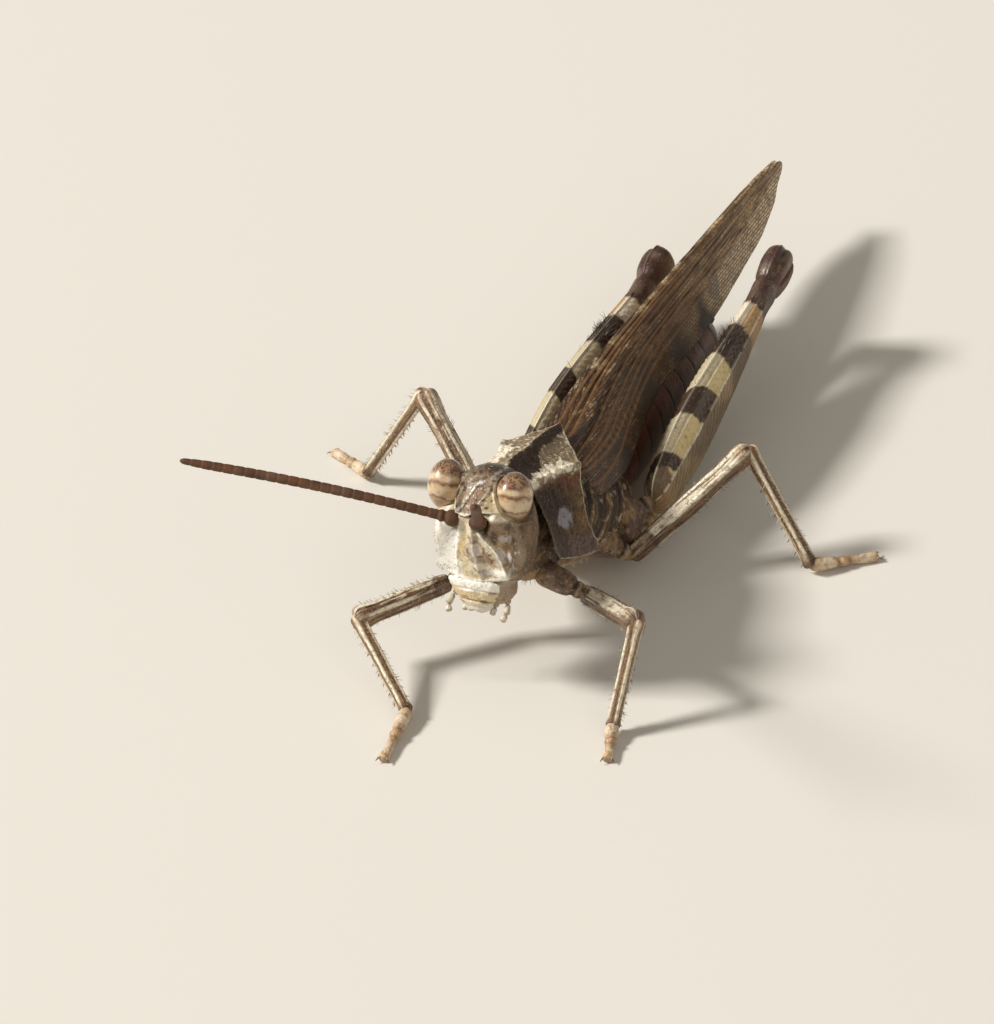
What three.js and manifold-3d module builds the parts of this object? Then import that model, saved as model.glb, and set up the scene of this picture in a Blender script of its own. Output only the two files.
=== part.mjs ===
// A seaside grasshopper (band-winged, male), standing still with its head raised.
// Millimetres, +Z up. The head looks along -Y, the insect's left side is +X,
// and the feet stand on the floor at z = 0.

import * as THREE from 'three';
import { mergeVertices } from 'three/addons/utils/BufferGeometryUtils.js';
import Module from 'manifold-3d';

const wasm = await Module();
wasm.setup();

// Driving dimensions. Lists of pairs are profiles: a place along the piece, then its size there.

const gap = 0.15; // clearance between two neighbouring plates
const blunt = 0.6; // where a limb's outermost ring lies, as a part of its rounded end
const degree = Math.PI / 180;

// The animal is moved by this much, so that its box stands centred on the origin.
const centre = { x: 0.05, y: 3.1 };

// The trunk's frame hangs from the rear tip of the pronotum.
const stance = {
  apexHeight: 5.9, // rear tip of the pronotum above the floor
  headUp: 19.3, // the thorax is raised in front
  lean: 6, // the left side stands a little higher
};

const pronotum = {
  front: -5.0,
  back: 0.3, // the hull runs past the rear tip before it is trimmed
  shoulder: -1.75, // where the rear edge meets the sides
  discHalf: [[-5, 1.15], [-3.6, 1.2], [-2.9, 1.23], [-1.75, 1.55], [0.3, 1.55]],
  discTop: [[-5, 0.2], [-4, 0.08], [-3, 0], [-1.6, -0.05], [0, -0.2]],
  lobeHalf: [[-5, 1.5], [-3.4, 1.6], [-2.2, 1.58], [0.3, 1.6]],
  lobeDepth: 3.75, // from the disc to the lower edge of the lobes
  below: 1.2, // the hull runs past the lower edge before it is trimmed
  flare: 0.35, // spread of the lobes towards their lower edge
  edgeDrop: 0.3, // fall of the disc from the middle to its sides
  keel: { height: 0.22, half: 0.35, end: -0.3 },
  plan: { half: 2.4, cornerBack: 0.35, bulge: 0.12 }, // trimming outline from above
};

// The fore body inside the pronotum's shell.
const prothorax = {
  front: -4.75,
  back: -2.25,
  top: -0.55,
  low: -4.6,
  half: [[-4.75, 0.95], [-3.6, 1.1], [-2.3, 1.25]],
};

// The middle and hind thorax, which carries the wings and four of the legs.
const pterothorax = {
  front: -1.95,
  back: 2.95,
  half: [[-2, 1.35], [-1, 1.68], [1, 1.78], [2.9, 1.5]],
  top: [[-2, -1.15], [0, -1.3], [2.9, -1.6]],
  low: [[-2, -4.75], [0, -4.85], [2, -4.75], [2.9, -4.5]],
  narrowing: 0.4, // the part of its width lost towards the back
};

// Heights in the head's frame, whose origin is the neck.
const head = {
  neck: [-0.15, -4.55, -2.0],
  turn: -10, // towards the insect's right
  nod: 6,
  tilt: 2,
  crown: 2.05,
  cheek: -2.05, // lower edge of the cheeks
  half: [[-2.05, 1.35], [-1.2, 1.7], [0, 1.78], [1.1, 1.4], [1.75, 0.9], [2.05, 0.5]],
  front: [[-2.05, -2.2], [-1.2, -2.5], [0, -2.6], [1, -2.5], [1.6, -2.15], [2.05, -1.5]],
  back: [[-2.05, -0.5], [-1.2, -0.15], [0, 0.1], [1.2, 0.1], [1.75, -0.2], [2.05, -0.7]],
};

const eye = {
  centre: [1.37, -1.38, 1.2],
  radii: [0.62, 0.7, 0.8], // sideways, lengthways, upright
  slant: 14,
};

const labrum = {
  top: -1.7,
  low: -2.95,
  half: [[0, 1.05], [0.35, 1], [0.7, 0.9], [1, 0.6]],
  front: -2.4,
  recede: 0.25, // its lower edge lies this much further back
  thickHalf: 0.27,
};

const jaws = { top: -2.2, low: -3.1, half: 1.05, deepHalf: 0.6, middle: -1.3 };
const palp = { root: [0.95, -1.5, -2.5], tip: [1.2, -2.2, -3.2], thick: 0.4 };

const antenna = {
  base: [0.5, -2.62, 0.42],
  thick: 0.5,
  bow: 0.15,
  tip: { left: [3.0, -14.2, 12.4], right: [-9.85, -9.65, 8.27] },
};

// Folded wings. Their places run along the wing from the pronotum's rear tip.
const wing = {
  root: -1.3, // start, under the shoulders of the pronotum
  tip: 20.6,
  lift: 12.8, // turn against the trunk
  swing: -0.1, // turn towards the insect's left
  thick: 0.5,
  apart: 0.1, // from the middle line to each forewing
  ridge: 0.05, // rise of the strip towards the middle line
  tipHalf: 0.06, // distance of the tip from the forewing's inner edge
  tipDrop: 0.3, // fall of the tip, as a part of the side's depth
  stripHalf: [[-1.3, 0.8], [1, 0.95], [6, 0.72], [12, 0.4], [20.4, 0.26]],
  stripTop: [[-1.3, -0.95], [0.5, -0.75], [3, -0.3], [6, -0.1], [12, -0.15], [20.4, -0.3]],
  sideDeep: [[-1.3, 1.4], [1.5, 2], [5, 2.3], [9, 2.2], [13, 1.85], [17, 1.5], [20.4, 1]],
  sideHalf: [[-1.3, 1.4], [1.5, 1.5], [6, 1.25], [11, 0.86], [16, 0.48], [20.4, 0.3]],
};

const hindwing = {
  root: 0.2,
  tip: 18.6,
  thick: 0.5,
  deep: 1.0,
  drop: 0.5, // below the top of the forewing
};

const abdomen = {
  start: [0, 3.25, -2.75],
  length: 10.6,
  lift: 14.5, // turn against the trunk
  rings: 9,
  ringStep: 0.05,
  half: [[0, 1.1], [2, 1.15], [6, 1.05], [9, 0.85], [10.6, 0.65]],
  deep: [[0, 1.4], [2, 1.45], [6, 1.2], [9, 0.9], [10.6, 0.7]],
};

// Joints of each leg: the root is in the trunk's frame, the others stand over the floor.
// The hind shins are folded back under the thighs and start below the knee, at shin.
const legs = {
  fore_left: {
    root: [1.3, -3.7, -4.8],
    hip: [2.7, -4.75, 2.5],
    knee: [5.55, -6.95, 3.5],
    ankle: [5.3, -8.8, 0.38],
    toe: [5.75, -10.4, 0.09],
  },
  fore_right: {
    root: [-1.3, -3.7, -4.8],
    hip: [-1.95, -5.5, 2.4],
    knee: [-4.28, -8.05, 2.05],
    ankle: [-1.6, -10.3, 0.38],
    toe: [-1.4, -12.9, 0.09],
  },
  mid_left: {
    root: [1.5, 0.1, -4.4],
    hip: [2.55, -0.4, 1.0],
    knee: [5.6, 2.95, 4.0],
    ankle: [8.15, 2.05, 0.38],
    toe: [10.0, 3.6, 0.09],
  },
  mid_right: {
    root: [-1.5, 0.1, -4.4],
    hip: [-2.5, -0.2, 0.9],
    knee: [-5.95, 2.1, 4.2],
    ankle: [-8.15, 2.05, 0.38],
    toe: [-9.9, 3.1, 0.09],
  },
  hind_left: {
    root: [1.5, 2.3, -4.0],
    hip: [2.6, 1.6, 2.05],
    knee: [2.35, 14.5, 3.85],
    shin: [1.85, 13.9, 2.6],
    ankle: [1.9, 4.0, 0.42],
    toe: [1.95, 1.3, 0.1],
  },
  hind_right: {
    root: [-1.5, 2.3, -4.0],
    hip: [-2.3, 1.8, 1.85],
    knee: [-1.95, 14.3, 2.85],
    shin: [-1.95, 13.8, 1.45],
    ankle: [-2.6, 4.5, 0.34],
    toe: [-3.1, 1.8, 0.1],
  },
};

// Half thickness of each segment along its length, and its facets.
const foreLeg = {
  coxa: {
    halfWide: [[0, 0.8], [1, 0.45]],
    halfDeep: [[0, 0.85], [1, 0.5]],
    around: 8,
    steps: 7,
    reach: 0.25,
  },
  femur: {
    halfWide: [[0, 0.28], [0.5, 0.33], [1, 0.33]],
    halfDeep: [[0, 0.3], [0.4, 0.36], [0.8, 0.36], [1, 0.4]],
    around: 8,
    steps: 7,
    reach: 0.06,
  },
  tibia: {
    halfWide: [[0, 0.27], [1, 0.25]],
    halfDeep: [[0, 0.28], [1, 0.25]],
    around: 6,
    steps: 6,
    reach: 0.05,
  },
  tarsus: {
    halfWide: [[0, 0.22], [0.25, 0.26], [0.45, 0.2], [0.8, 0.2], [1, 0.26]],
    halfDeep: [[0, 0.22], [0.3, 0.24], [0.5, 0.22], [0.75, 0.25], [1, 0.26]],
    around: 8,
    steps: 8,
    reach: 0.08,
  },
};
const hindLeg = {
  ...foreLeg,
  coxa: {
    halfWide: [[0, 0.6], [1, 0.5]],
    halfDeep: [[0, 0.7], [1, 0.62]],
    around: 8,
    steps: 7,
    reach: 0.25,
  },
  femur: {
    halfWide: [[0, 0.42], [0.28, 0.64], [0.6, 0.54], [0.8, 0.45], [0.93, 0.56], [1, 0.48]],
    halfDeep: [
      [0, 0.75], [0.12, 1.2], [0.27, 1.4], [0.5, 1.14], [0.75, 0.66], [0.83, 0.62], [0.93, 0.88], [1, 0.75],
    ],
    around: 12,
    steps: 16,
    reach: 0.05,
  },
};

// Materials

const finish = (color, roughness) => new THREE.MeshStandardMaterial({ color, roughness, metalness: 0 });

const paleCuticle = finish(0xb9aa94, 0.6);
const brownCuticle = finish(0x6e5a4b, 0.6);
const wingCuticle = finish(0x5f4c3f, 0.55);
const darkHorn = finish(0x3a2a24, 0.5);
const eyeCuticle = finish(0x9c8270, 0.25);
const bellyCuticle = finish(0x8a5a44, 0.6);
const legCuticle = finish(0xc4b59d, 0.6);

// Small helpers

const sides = [['left', 1], ['right', -1]];
const constant = (value) => () => value;
const vector = (list) => new THREE.Vector3(...list);
const mix = THREE.MathUtils.lerp;

// A power of a sine or cosine that keeps its sign: below 1 it squares a section's corners.
const rounded = (value, power) => Math.sign(value) * Math.abs(value) ** power;

// How far an end is rounded off: 0 at the end itself, 1 beyond the reach.
const roundEnd = (distance, reach) => (distance >= reach ? 1 : Math.sqrt(1 - (1 - distance / reach) ** 2));

// The same for both ends of a way from 0 to 1.
const roundEnds = (t, reach) => roundEnd(Math.min(t, 1 - t), reach);

// A smooth value along a length, through the pairs of a profile.
function along(profile) {
  const last = profile.length - 1;
  const slope = profile.map((pair, i) => {
    const before = profile[Math.max(i - 1, 0)];
    const after = profile[Math.min(i + 1, last)];
    return (after[1] - before[1]) / (after[0] - before[0]);
  });
  return (place) => {
    if (place <= profile[0][0]) return profile[0][1];
    if (place >= profile[last][0]) return profile[last][1];
    const i = profile.findIndex((pair) => pair[0] > place) - 1;
    const span = profile[i + 1][0] - profile[i][0];
    const u = (place - profile[i][0]) / span;
    const bend = slope[i] * (1 - u) - slope[i + 1] * u;
    return mix(profile[i][1], profile[i + 1][1], u * u * (3 - 2 * u)) + span * u * (1 - u) * bend;
  };
}

// A closed form: the poles and rings of a sphere, each point put where place says.
// place gets the way from pole to pole (0 to 1) and the angle round the axis.
function form(around, steps, place) {
  const geometry = new THREE.SphereGeometry(1, around, steps);
  const position = geometry.attributes.position;
  for (let row = 0; row <= steps; row += 1) {
    for (let column = 0; column <= around; column += 1) {
      const angle = (2 * Math.PI * (column % around)) / around;
      const at = place(row / steps, angle);
      position.setXYZ(row * (around + 1) + column, at.x, at.y, at.z);
    }
  }
  return geometry;
}

function solidOf(geometry) {
  const bare = geometry.clone();
  bare.deleteAttribute('normal');
  bare.deleteAttribute('uv');
  const welded = mergeVertices(bare, 1e-4);
  return new wasm.Manifold(new wasm.Mesh({
    numProp: 3,
    vertProperties: Float32Array.from(welded.attributes.position.array),
    triVerts: Uint32Array.from(welded.index.array),
  }));
}

function geometryOf(solid) {
  const mesh = solid.getMesh();
  const geometry = new THREE.BufferGeometry();
  geometry.setAttribute('position', new THREE.BufferAttribute(mesh.vertProperties, 3));
  geometry.setIndex(new THREE.BufferAttribute(mesh.triVerts, 1));
  return geometry;
}

// The biggest body of a solid that a cut has parted.
function largest(solid) {
  return solid.decompose().sort((a, b) => b.volume() - a.volume())[0];
}

function node(name, geometry, material, parent) {
  const mesh = new THREE.Mesh(geometry, material);
  mesh.name = name;
  parent.add(mesh);
}

// A limb's segment from one joint to the next. halfWide and halfDeep give its
// half thickness along the way, grow thickens it, and floor flattens its sole.
// The outermost rings lie close to the ends, which makes the ends blunt.
function segment({ from, to, halfWide, halfDeep, around, steps, reach, bow = 0, grow = 0, floor = false }) {
  const axis = to.clone().sub(from);
  const ahead = axis.clone().normalize();
  const high = new THREE.Vector3(0, 0, 1).addScaledVector(ahead, -ahead.z).normalize();
  const side = ahead.clone().cross(high);
  const margin = blunt * reach;
  return form(around, steps, (way, angle) => {
    const tip = way === 0 || way === 1;
    const t = tip ? way : mix(margin, 1 - margin, (way * steps - 1) / (steps - 2));
    const end = roundEnds(t, reach);
    const wide = (halfWide(t) + grow) * end * Math.cos(angle);
    const deep = (halfDeep(t) + grow) * end * Math.sin(angle);
    const point = from.clone()
      .addScaledVector(axis, t)
      .addScaledVector(ahead, grow * (2 * t - 1))
      .addScaledVector(high, deep + bow * Math.sin(Math.PI * t))
      .addScaledVector(side, wide);
    point.z = floor ? Math.max(point.z, 0) : point.z;
    return point;
  });
}

// Groups

const animal = new THREE.Group();
animal.position.set(-centre.x, -centre.y, 0);

const trunk = new THREE.Group();
trunk.position.set(0, 0, stance.apexHeight);
trunk.rotation.set(-stance.headUp * degree, -stance.lean * degree, 0);
trunk.updateMatrix();
animal.add(trunk);

const headGroup = new THREE.Group();
headGroup.position.set(...head.neck);
headGroup.rotation.set(head.nod * degree, head.tilt * degree, head.turn * degree, 'ZYX');
headGroup.updateMatrix();
trunk.add(headGroup);

const wingGroup = new THREE.Group();
wingGroup.rotation.set(wing.lift * degree, 0, wing.swing * degree);
wingGroup.updateMatrix();
trunk.add(wingGroup);

const abdomenGroup = new THREE.Group();
abdomenGroup.position.set(...abdomen.start);
abdomenGroup.rotation.set(abdomen.lift * degree, 0, 0);
trunk.add(abdomenGroup);

const fromTrunk = (point) => vector(point).applyMatrix4(trunk.matrix);
const fromHead = (point) => vector(point).applyMatrix4(headGroup.matrix).applyMatrix4(trunk.matrix);

// Thorax

// The saddle of the pronotum as a full hull, before its outline is trimmed.
function pronotumHull(extra) {
  const discHalf = along(pronotum.discHalf);
  const discTop = along(pronotum.discTop);
  const lobeHalf = along(pronotum.lobeHalf);
  const { keel } = pronotum;
  return form(22, 12, (t, angle) => {
    const y = mix(pronotum.front - extra, pronotum.back, t);
    const open = t === 0 || t === 1 ? 0 : 1;
    const top = discTop(y);
    const deep = (pronotum.lobeDepth + pronotum.below) / 2;
    const height = rounded(Math.sin(angle), 0.55);
    const upper = height > 0 ? 1 : 0;
    const spread = mix(lobeHalf(y), discHalf(y), THREE.MathUtils.smoothstep(height, 0.2, 0.8));
    const flare = pronotum.flare * Math.max(0, -height);
    const x = (spread + flare + extra) * rounded(Math.cos(angle), 0.5);
    const ridge = y < keel.end ? keel.height * Math.max(0, 1 - Math.abs(x) / keel.half) : 0;
    const fall = pronotum.edgeDrop * (x / discHalf(y)) ** 2;
    const z = top - deep + deep * height + (ridge - fall) * upper;
    return new THREE.Vector3(x * open, y, mix(top - deep, z, open));
  });
}

// The outline from above: nearly straight in front, a wide V behind.
function pronotumPlan() {
  const { half: wide, cornerBack, bulge } = pronotum.plan;
  const corner = pronotum.front + cornerBack;
  const shoulderHalf = along(pronotum.discHalf)(pronotum.shoulder);
  const shape = new THREE.Shape();
  shape.moveTo(-wide, corner);
  shape.quadraticCurveTo(0, pronotum.front - bulge, wide, corner);
  shape.lineTo(wide, pronotum.shoulder - 0.5);
  shape.lineTo(shoulderHalf, pronotum.shoulder);
  shape.quadraticCurveTo(0.5, -0.35, 0, 0);
  shape.quadraticCurveTo(-0.5, -0.35, -shoulderHalf, pronotum.shoulder);
  shape.lineTo(-wide, pronotum.shoulder - 0.5);
  const plan = new THREE.ExtrudeGeometry(shape, { depth: 8, bevelEnabled: false, curveSegments: 8 });
  plan.translate(0, 0, -6);
  return plan;
}

// The outline from the side: the hanging lobes.
function pronotumSide(extra) {
  const front = pronotum.front - extra;
  const low = -pronotum.lobeDepth - extra;
  const shape = new THREE.Shape();
  shape.moveTo(front - 1, 1);
  shape.lineTo(front - 0.2, -0.6);
  shape.quadraticCurveTo(front + 0.25, -2.2, front + 0.85, low + 0.45);
  shape.quadraticCurveTo(-3.7, low + 0.15, -3.0, low);
  shape.quadraticCurveTo(-1.9, low - 0.1, -1.6, low + 0.15);
  shape.quadraticCurveTo(-1.95, -1.9, -1.65, -0.95);
  shape.lineTo(1, -0.75);
  shape.lineTo(1, 1);
  const side = new THREE.ExtrudeGeometry(shape, { depth: 8, bevelEnabled: false, curveSegments: 8 });
  side.translate(0, 0, -4);
  side.applyMatrix4(new THREE.Matrix4().makeBasis(
    new THREE.Vector3(0, 1, 0),
    new THREE.Vector3(0, 0, 1),
    new THREE.Vector3(1, 0, 0),
  ));
  return side;
}

function prothoraxForm(extra) {
  const half = along(prothorax.half);
  const middle = (prothorax.top + prothorax.low) / 2;
  const deep = (prothorax.top - prothorax.low) / 2 + extra;
  return form(14, 8, (t, angle) => {
    const y = mix(prothorax.front - extra, prothorax.back + extra, t);
    const open = roundEnds(t, 0.12);
    const x = (half(y) + extra) * rounded(Math.cos(angle), 0.6) * open;
    return new THREE.Vector3(x, y, middle + deep * rounded(Math.sin(angle), 0.7) * open);
  });
}

function pterothoraxForm(extra) {
  const half = along(pterothorax.half);
  const top = along(pterothorax.top);
  const low = along(pterothorax.low);
  return form(18, 10, (t, angle) => {
    const y = mix(pterothorax.front - extra, pterothorax.back + extra, t);
    const open = roundEnds(t, 0.15);
    const middle = (top(y) + low(y)) / 2;
    const deep = (top(y) - low(y)) / 2 + extra;
    const height = rounded(Math.sin(angle), 0.8);
    const waist = 1 - pterothorax.narrowing * Math.max(0, height);
    const x = (half(y) * waist + extra) * rounded(Math.cos(angle), 0.7) * open;
    return new THREE.Vector3(x, y, middle + deep * height * open);
  });
}

const shell = solidOf(pronotumHull(0))
  .intersect(solidOf(pronotumPlan()))
  .intersect(solidOf(pronotumSide(0)))
  .subtract(solidOf(prothoraxForm(gap)))
  .subtract(solidOf(pterothoraxForm(gap)));
node('pronotum', geometryOf(shell), brownCuticle, trunk);
node('prothorax', prothoraxForm(0), paleCuticle, trunk);

// What the head and the legs stay clear of, in the trunk's frame.
const thoraxWalls = solidOf(prothoraxForm(gap))
  .add(solidOf(pterothoraxForm(gap)))
  .add(solidOf(pronotumHull(gap)).intersect(solidOf(pronotumSide(gap))));

// Head

function headForm() {
  const half = along(head.half);
  const front = along(head.front);
  const back = along(head.back);
  return form(20, 13, (t, angle) => {
    const z = mix(head.crown, head.cheek, t);
    const end = roundEnds(t, 0.1);
    const middle = (front(z) + back(z)) / 2;
    const deep = (back(z) - front(z)) / 2;
    const x = half(z) * rounded(Math.cos(angle), 0.85) * end;
    return new THREE.Vector3(x, middle + deep * rounded(Math.sin(angle), 0.85) * end, z);
  });
}

function eyeForm(side, extra) {
  const geometry = new THREE.SphereGeometry(1, 14, 10);
  geometry.scale(eye.radii[0] + extra, eye.radii[1] + extra, eye.radii[2] + extra);
  geometry.rotateX(-eye.slant * degree);
  geometry.translate(side * eye.centre[0], eye.centre[1], eye.centre[2]);
  return geometry;
}

// Upper lip with its shield, hanging in front of the jaws.
function labrumForm(extra) {
  const half = along(labrum.half);
  return form(12, 7, (t, angle) => {
    const z = mix(labrum.top + extra, labrum.low - extra, t);
    const end = roundEnds(t, 0.2);
    const x = (half(t) + extra) * Math.cos(angle) * end;
    const y = labrum.front + labrum.recede * t + (labrum.thickHalf + extra) * Math.sin(angle) * end;
    return new THREE.Vector3(x, y, z);
  });
}

function jawsForm() {
  return form(12, 6, (t, angle) => {
    const end = roundEnds(t, 0.4);
    const x = jaws.half * Math.cos(angle) * end;
    const y = jaws.middle + jaws.deepHalf * Math.sin(angle) * end;
    return new THREE.Vector3(x, y, mix(jaws.top, jaws.low, t));
  });
}

// A palp reaches down beside each corner of the mouth.
function palpForm(side) {
  const mirror = new THREE.Vector3(side, 1, 1);
  return segment({
    from: vector(palp.root).multiply(mirror),
    to: vector(palp.tip).multiply(mirror),
    halfWide: constant(palp.thick / 2),
    halfDeep: constant(palp.thick / 2),
    around: 8,
    steps: 5,
    reach: 0.2,
  });
}

const thoraxBehindHead = geometryOf(thoraxWalls).applyMatrix4(headGroup.matrix.clone().invert());
let capsule = solidOf(headForm())
  .subtract(solidOf(labrumForm(gap)))
  .subtract(solidOf(thoraxBehindHead));
let mouth = solidOf(jawsForm());
for (const [name, side] of sides) {
  capsule = capsule.subtract(solidOf(eyeForm(side, gap)));
  mouth = mouth.add(solidOf(palpForm(side)));
  node(`eye_${name}`, eyeForm(side, 0), eyeCuticle, headGroup);
}
node('head', geometryOf(largest(capsule)), paleCuticle, headGroup);
node('labrum', labrumForm(0), paleCuticle, headGroup);
node('jaws', geometryOf(mouth), paleCuticle, headGroup);

for (const [name, side] of sides) {
  const [x, y, z] = antenna.base;
  const rod = segment({
    from: fromHead([side * x, y, z]),
    to: vector(antenna.tip[name]),
    halfWide: constant(antenna.thick / 2),
    halfDeep: constant(antenna.thick / 2),
    around: 8,
    steps: 16,
    reach: 0.03,
    bow: antenna.bow,
  });
  node(`antenna_${name}`, rod, darkHorn, animal);
}

// Wings

const stripHalf = along(wing.stripHalf);
const stripTop = along(wing.stripTop);
const sideDeep = along(wing.sideDeep);
const sideHalf = along(wing.sideHalf);

// A folded forewing: a narrow strip on top that bends down into a deep side.
function tegmenForm(side, extra) {
  return form(20, 16, (t, turn) => {
    const y = mix(wing.root, wing.tip, t);
    const open = Math.min(roundEnd(t, 0.03), roundEnd(1 - t, 0.2));
    const top = stripTop(y);
    const deep = sideDeep(y);
    const edge = new THREE.Vector2(wing.apart, top + wing.ridge);
    const corner = new THREE.Vector2(stripHalf(y), top);
    const low = new THREE.Vector2(sideHalf(y), top - deep);
    const inner = edge.clone().lerp(corner, 0.95);
    const outer = low.clone().lerp(corner, 0.85);
    const fold = new THREE.CubicBezierCurve(edge, inner, outer, low);
    const way = (1 - Math.cos(turn)) / 2;
    const point = fold.getPoint(way);
    const lean = fold.getTangent(way);
    const half = side * (wing.thick / 2 + extra) * rounded(Math.sin(turn), 0.35);
    // towards the tip the sheet closes on the upper part of its side
    const x = mix(wing.apart + wing.tipHalf, point.x, open) + lean.y * half * open;
    const z = mix(top - deep * wing.tipDrop, point.y, open) - lean.x * half * open;
    return new THREE.Vector3(side * x, y, z);
  });
}

// The hind wing, folded up like a fan beside the middle line.
function hindwingForm(side, extra) {
  return form(10, 10, (t, turn) => {
    const y = mix(hindwing.root, hindwing.tip, t);
    const end = Math.min(roundEnd(t, 0.08), roundEnd(1 - t, 0.2));
    const deep = hindwing.deep * (1 - 0.5 * t);
    const half = (hindwing.thick / 2 + extra) * end;
    const high = (deep / 2 + extra) * end;
    const x = wing.apart + hindwing.thick / 2 + half * Math.cos(side * turn);
    const z = stripTop(y) - hindwing.drop - deep / 2 + high * rounded(Math.sin(side * turn), 0.6);
    return new THREE.Vector3(side * x, y, z);
  });
}

let wingRoom = solidOf(tegmenForm(1, gap)).add(solidOf(tegmenForm(-1, gap)));
for (const [name, side] of sides) {
  const fan = largest(solidOf(hindwingForm(side, 0)).subtract(wingRoom));
  node(`tegmen_${name}`, tegmenForm(side, 0), wingCuticle, wingGroup);
  node(`hindwing_${name}`, geometryOf(fan), wingCuticle, wingGroup);
}
wingRoom = wingRoom.add(solidOf(hindwingForm(1, gap))).add(solidOf(hindwingForm(-1, gap)));
const wingRoomInTrunk = solidOf(geometryOf(wingRoom).applyMatrix4(wingGroup.matrix));
const wingBearer = largest(solidOf(pterothoraxForm(0)).subtract(wingRoomInTrunk));
node('pterothorax', geometryOf(wingBearer), paleCuticle, trunk);

// Abdomen

function abdomenForm() {
  const half = along(abdomen.half);
  const deep = along(abdomen.deep);
  return form(14, 18, (t, angle) => {
    const y = abdomen.length * t;
    const end = Math.min(roundEnd(t, 0.05), roundEnd(1 - t, 0.12));
    const ring = abdomen.ringStep * ((t * abdomen.rings) % 1);
    const x = (half(y) - ring) * Math.cos(angle) * end;
    return new THREE.Vector3(x, y, (deep(y) - ring) * Math.sin(angle) * end);
  });
}
node('abdomen', abdomenForm(), bellyCuticle, abdomenGroup);

// Legs. Each segment keeps clear of the one before it.

const thoraxInPlace = solidOf(geometryOf(thoraxWalls).applyMatrix4(trunk.matrix));
for (const [name, joints] of Object.entries(legs)) {
  const shape = name.startsWith('hind') ? hindLeg : foreLeg;
  const ways = {
    coxa: [fromTrunk(joints.root), vector(joints.hip)],
    femur: [joints.hip, joints.knee].map(vector),
    tibia: [joints.shin ?? joints.knee, joints.ankle].map(vector),
    tarsus: [joints.ankle, joints.toe].map(vector),
  };
  let inner = thoraxInPlace;
  for (const [piece, [from, to]] of Object.entries(ways)) {
    const spec = {
      ...shape[piece],
      from,
      to,
      halfWide: along(shape[piece].halfWide),
      halfDeep: along(shape[piece].halfDeep),
    };
    const piecePlain = segment({ ...spec, floor: piece === 'tarsus' });
    node(`${name}_${piece}`, geometryOf(largest(solidOf(piecePlain).subtract(inner))), legCuticle, animal);
    inner = solidOf(segment({ ...spec, grow: gap }));
  }
}

export default animal;
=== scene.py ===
import itertools
import math

import bmesh
import bpy
import numpy as np
from mathutils import Matrix, Vector


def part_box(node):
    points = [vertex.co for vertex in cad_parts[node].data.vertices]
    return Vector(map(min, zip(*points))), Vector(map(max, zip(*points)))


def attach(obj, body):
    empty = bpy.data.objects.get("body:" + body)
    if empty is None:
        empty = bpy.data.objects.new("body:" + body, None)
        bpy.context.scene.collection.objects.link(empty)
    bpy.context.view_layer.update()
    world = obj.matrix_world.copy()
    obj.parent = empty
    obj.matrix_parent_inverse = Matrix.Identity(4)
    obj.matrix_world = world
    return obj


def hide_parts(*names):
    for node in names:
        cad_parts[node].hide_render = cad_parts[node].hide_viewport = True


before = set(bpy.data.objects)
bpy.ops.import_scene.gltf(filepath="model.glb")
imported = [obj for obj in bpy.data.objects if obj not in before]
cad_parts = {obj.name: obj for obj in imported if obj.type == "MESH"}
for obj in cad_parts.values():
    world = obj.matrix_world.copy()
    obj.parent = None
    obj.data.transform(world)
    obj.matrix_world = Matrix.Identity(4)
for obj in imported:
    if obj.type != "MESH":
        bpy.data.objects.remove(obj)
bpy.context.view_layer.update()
print("frame loaded:", len(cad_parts), "solids")

mm = 0.001
draw = np.random.default_rng(11)  # every random place comes from here, in order
sides = {"left": 1, "right": -1}

# frames of the body: shapes below are written in millimetres inside one of these

posture = {
    "place": (-0.05, -3.1, 5.9),  # rear tip of the shield
    "trunk": (-19.3, -6, 0),
    "neck": (-0.15, -4.55, -2.0),
    "head": (6, 2, -10),  # nod, tilt, turn
    "wings": (12.8, 0, -0.1),
    "belly": (0, 3.25, -2.75),
    "bellyLift": 14.5,
}


def turn(degrees, axis):
    return Matrix.Rotation(math.radians(degrees), 4, axis)


def turnXYZ(angles):
    return turn(angles[0], "X") @ turn(angles[1], "Y") @ turn(angles[2], "Z")


floorFrame = Matrix.Identity(4)
trunkFrame = Matrix.Translation(posture["place"]) @ turnXYZ(posture["trunk"])
nod, tilt, facing = posture["head"]
headTurn = turn(facing, "Z") @ turn(tilt, "Y") @ turn(nod, "X")
headFrame = trunkFrame @ Matrix.Translation(posture["neck"]) @ headTurn
wingFrame = trunkFrame @ turnXYZ(posture["wings"])
bellyFrame = trunkFrame @ Matrix.Translation(posture["belly"]) @ turn(posture["bellyLift"], "X")

# profiles, soft steps and grain, all on whole arrays


def curveThrough(keys):
    places, values = np.array(keys, float).T
    ahead = np.r_[1 : len(places), len(places) - 1]
    behind = np.r_[0, 0 : len(places) - 1]
    slopes = (values[ahead] - values[behind]) / (places[ahead] - places[behind])

    def value(place):
        place = np.clip(place, places[0], places[-1])
        i = np.clip(np.searchsorted(places, place, side="right") - 1, 0, len(places) - 2)
        span = places[i + 1] - places[i]
        u = (place - places[i]) / span
        bend = slopes[i] * (1 - u) - slopes[i + 1] * u
        return mix(values[i], values[i + 1], u * u * (3 - 2 * u)) + span * u * (1 - u) * bend

    return value


def profiles(shape, place, *keys):  # several outlines of one piece, all at one place
    return [curveThrough(shape[key])(place) for key in keys]


def mix(a, b, t):
    return a + (b - a) * t


def limit(value):
    return np.clip(value, 0, 1)


def unit(vector):
    return vector / np.linalg.norm(vector, axis=-1, keepdims=True)


def softStep(low, high, value):
    t = limit((value - low) / (high - low))
    return t * t * (3 - 2 * t)


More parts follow.
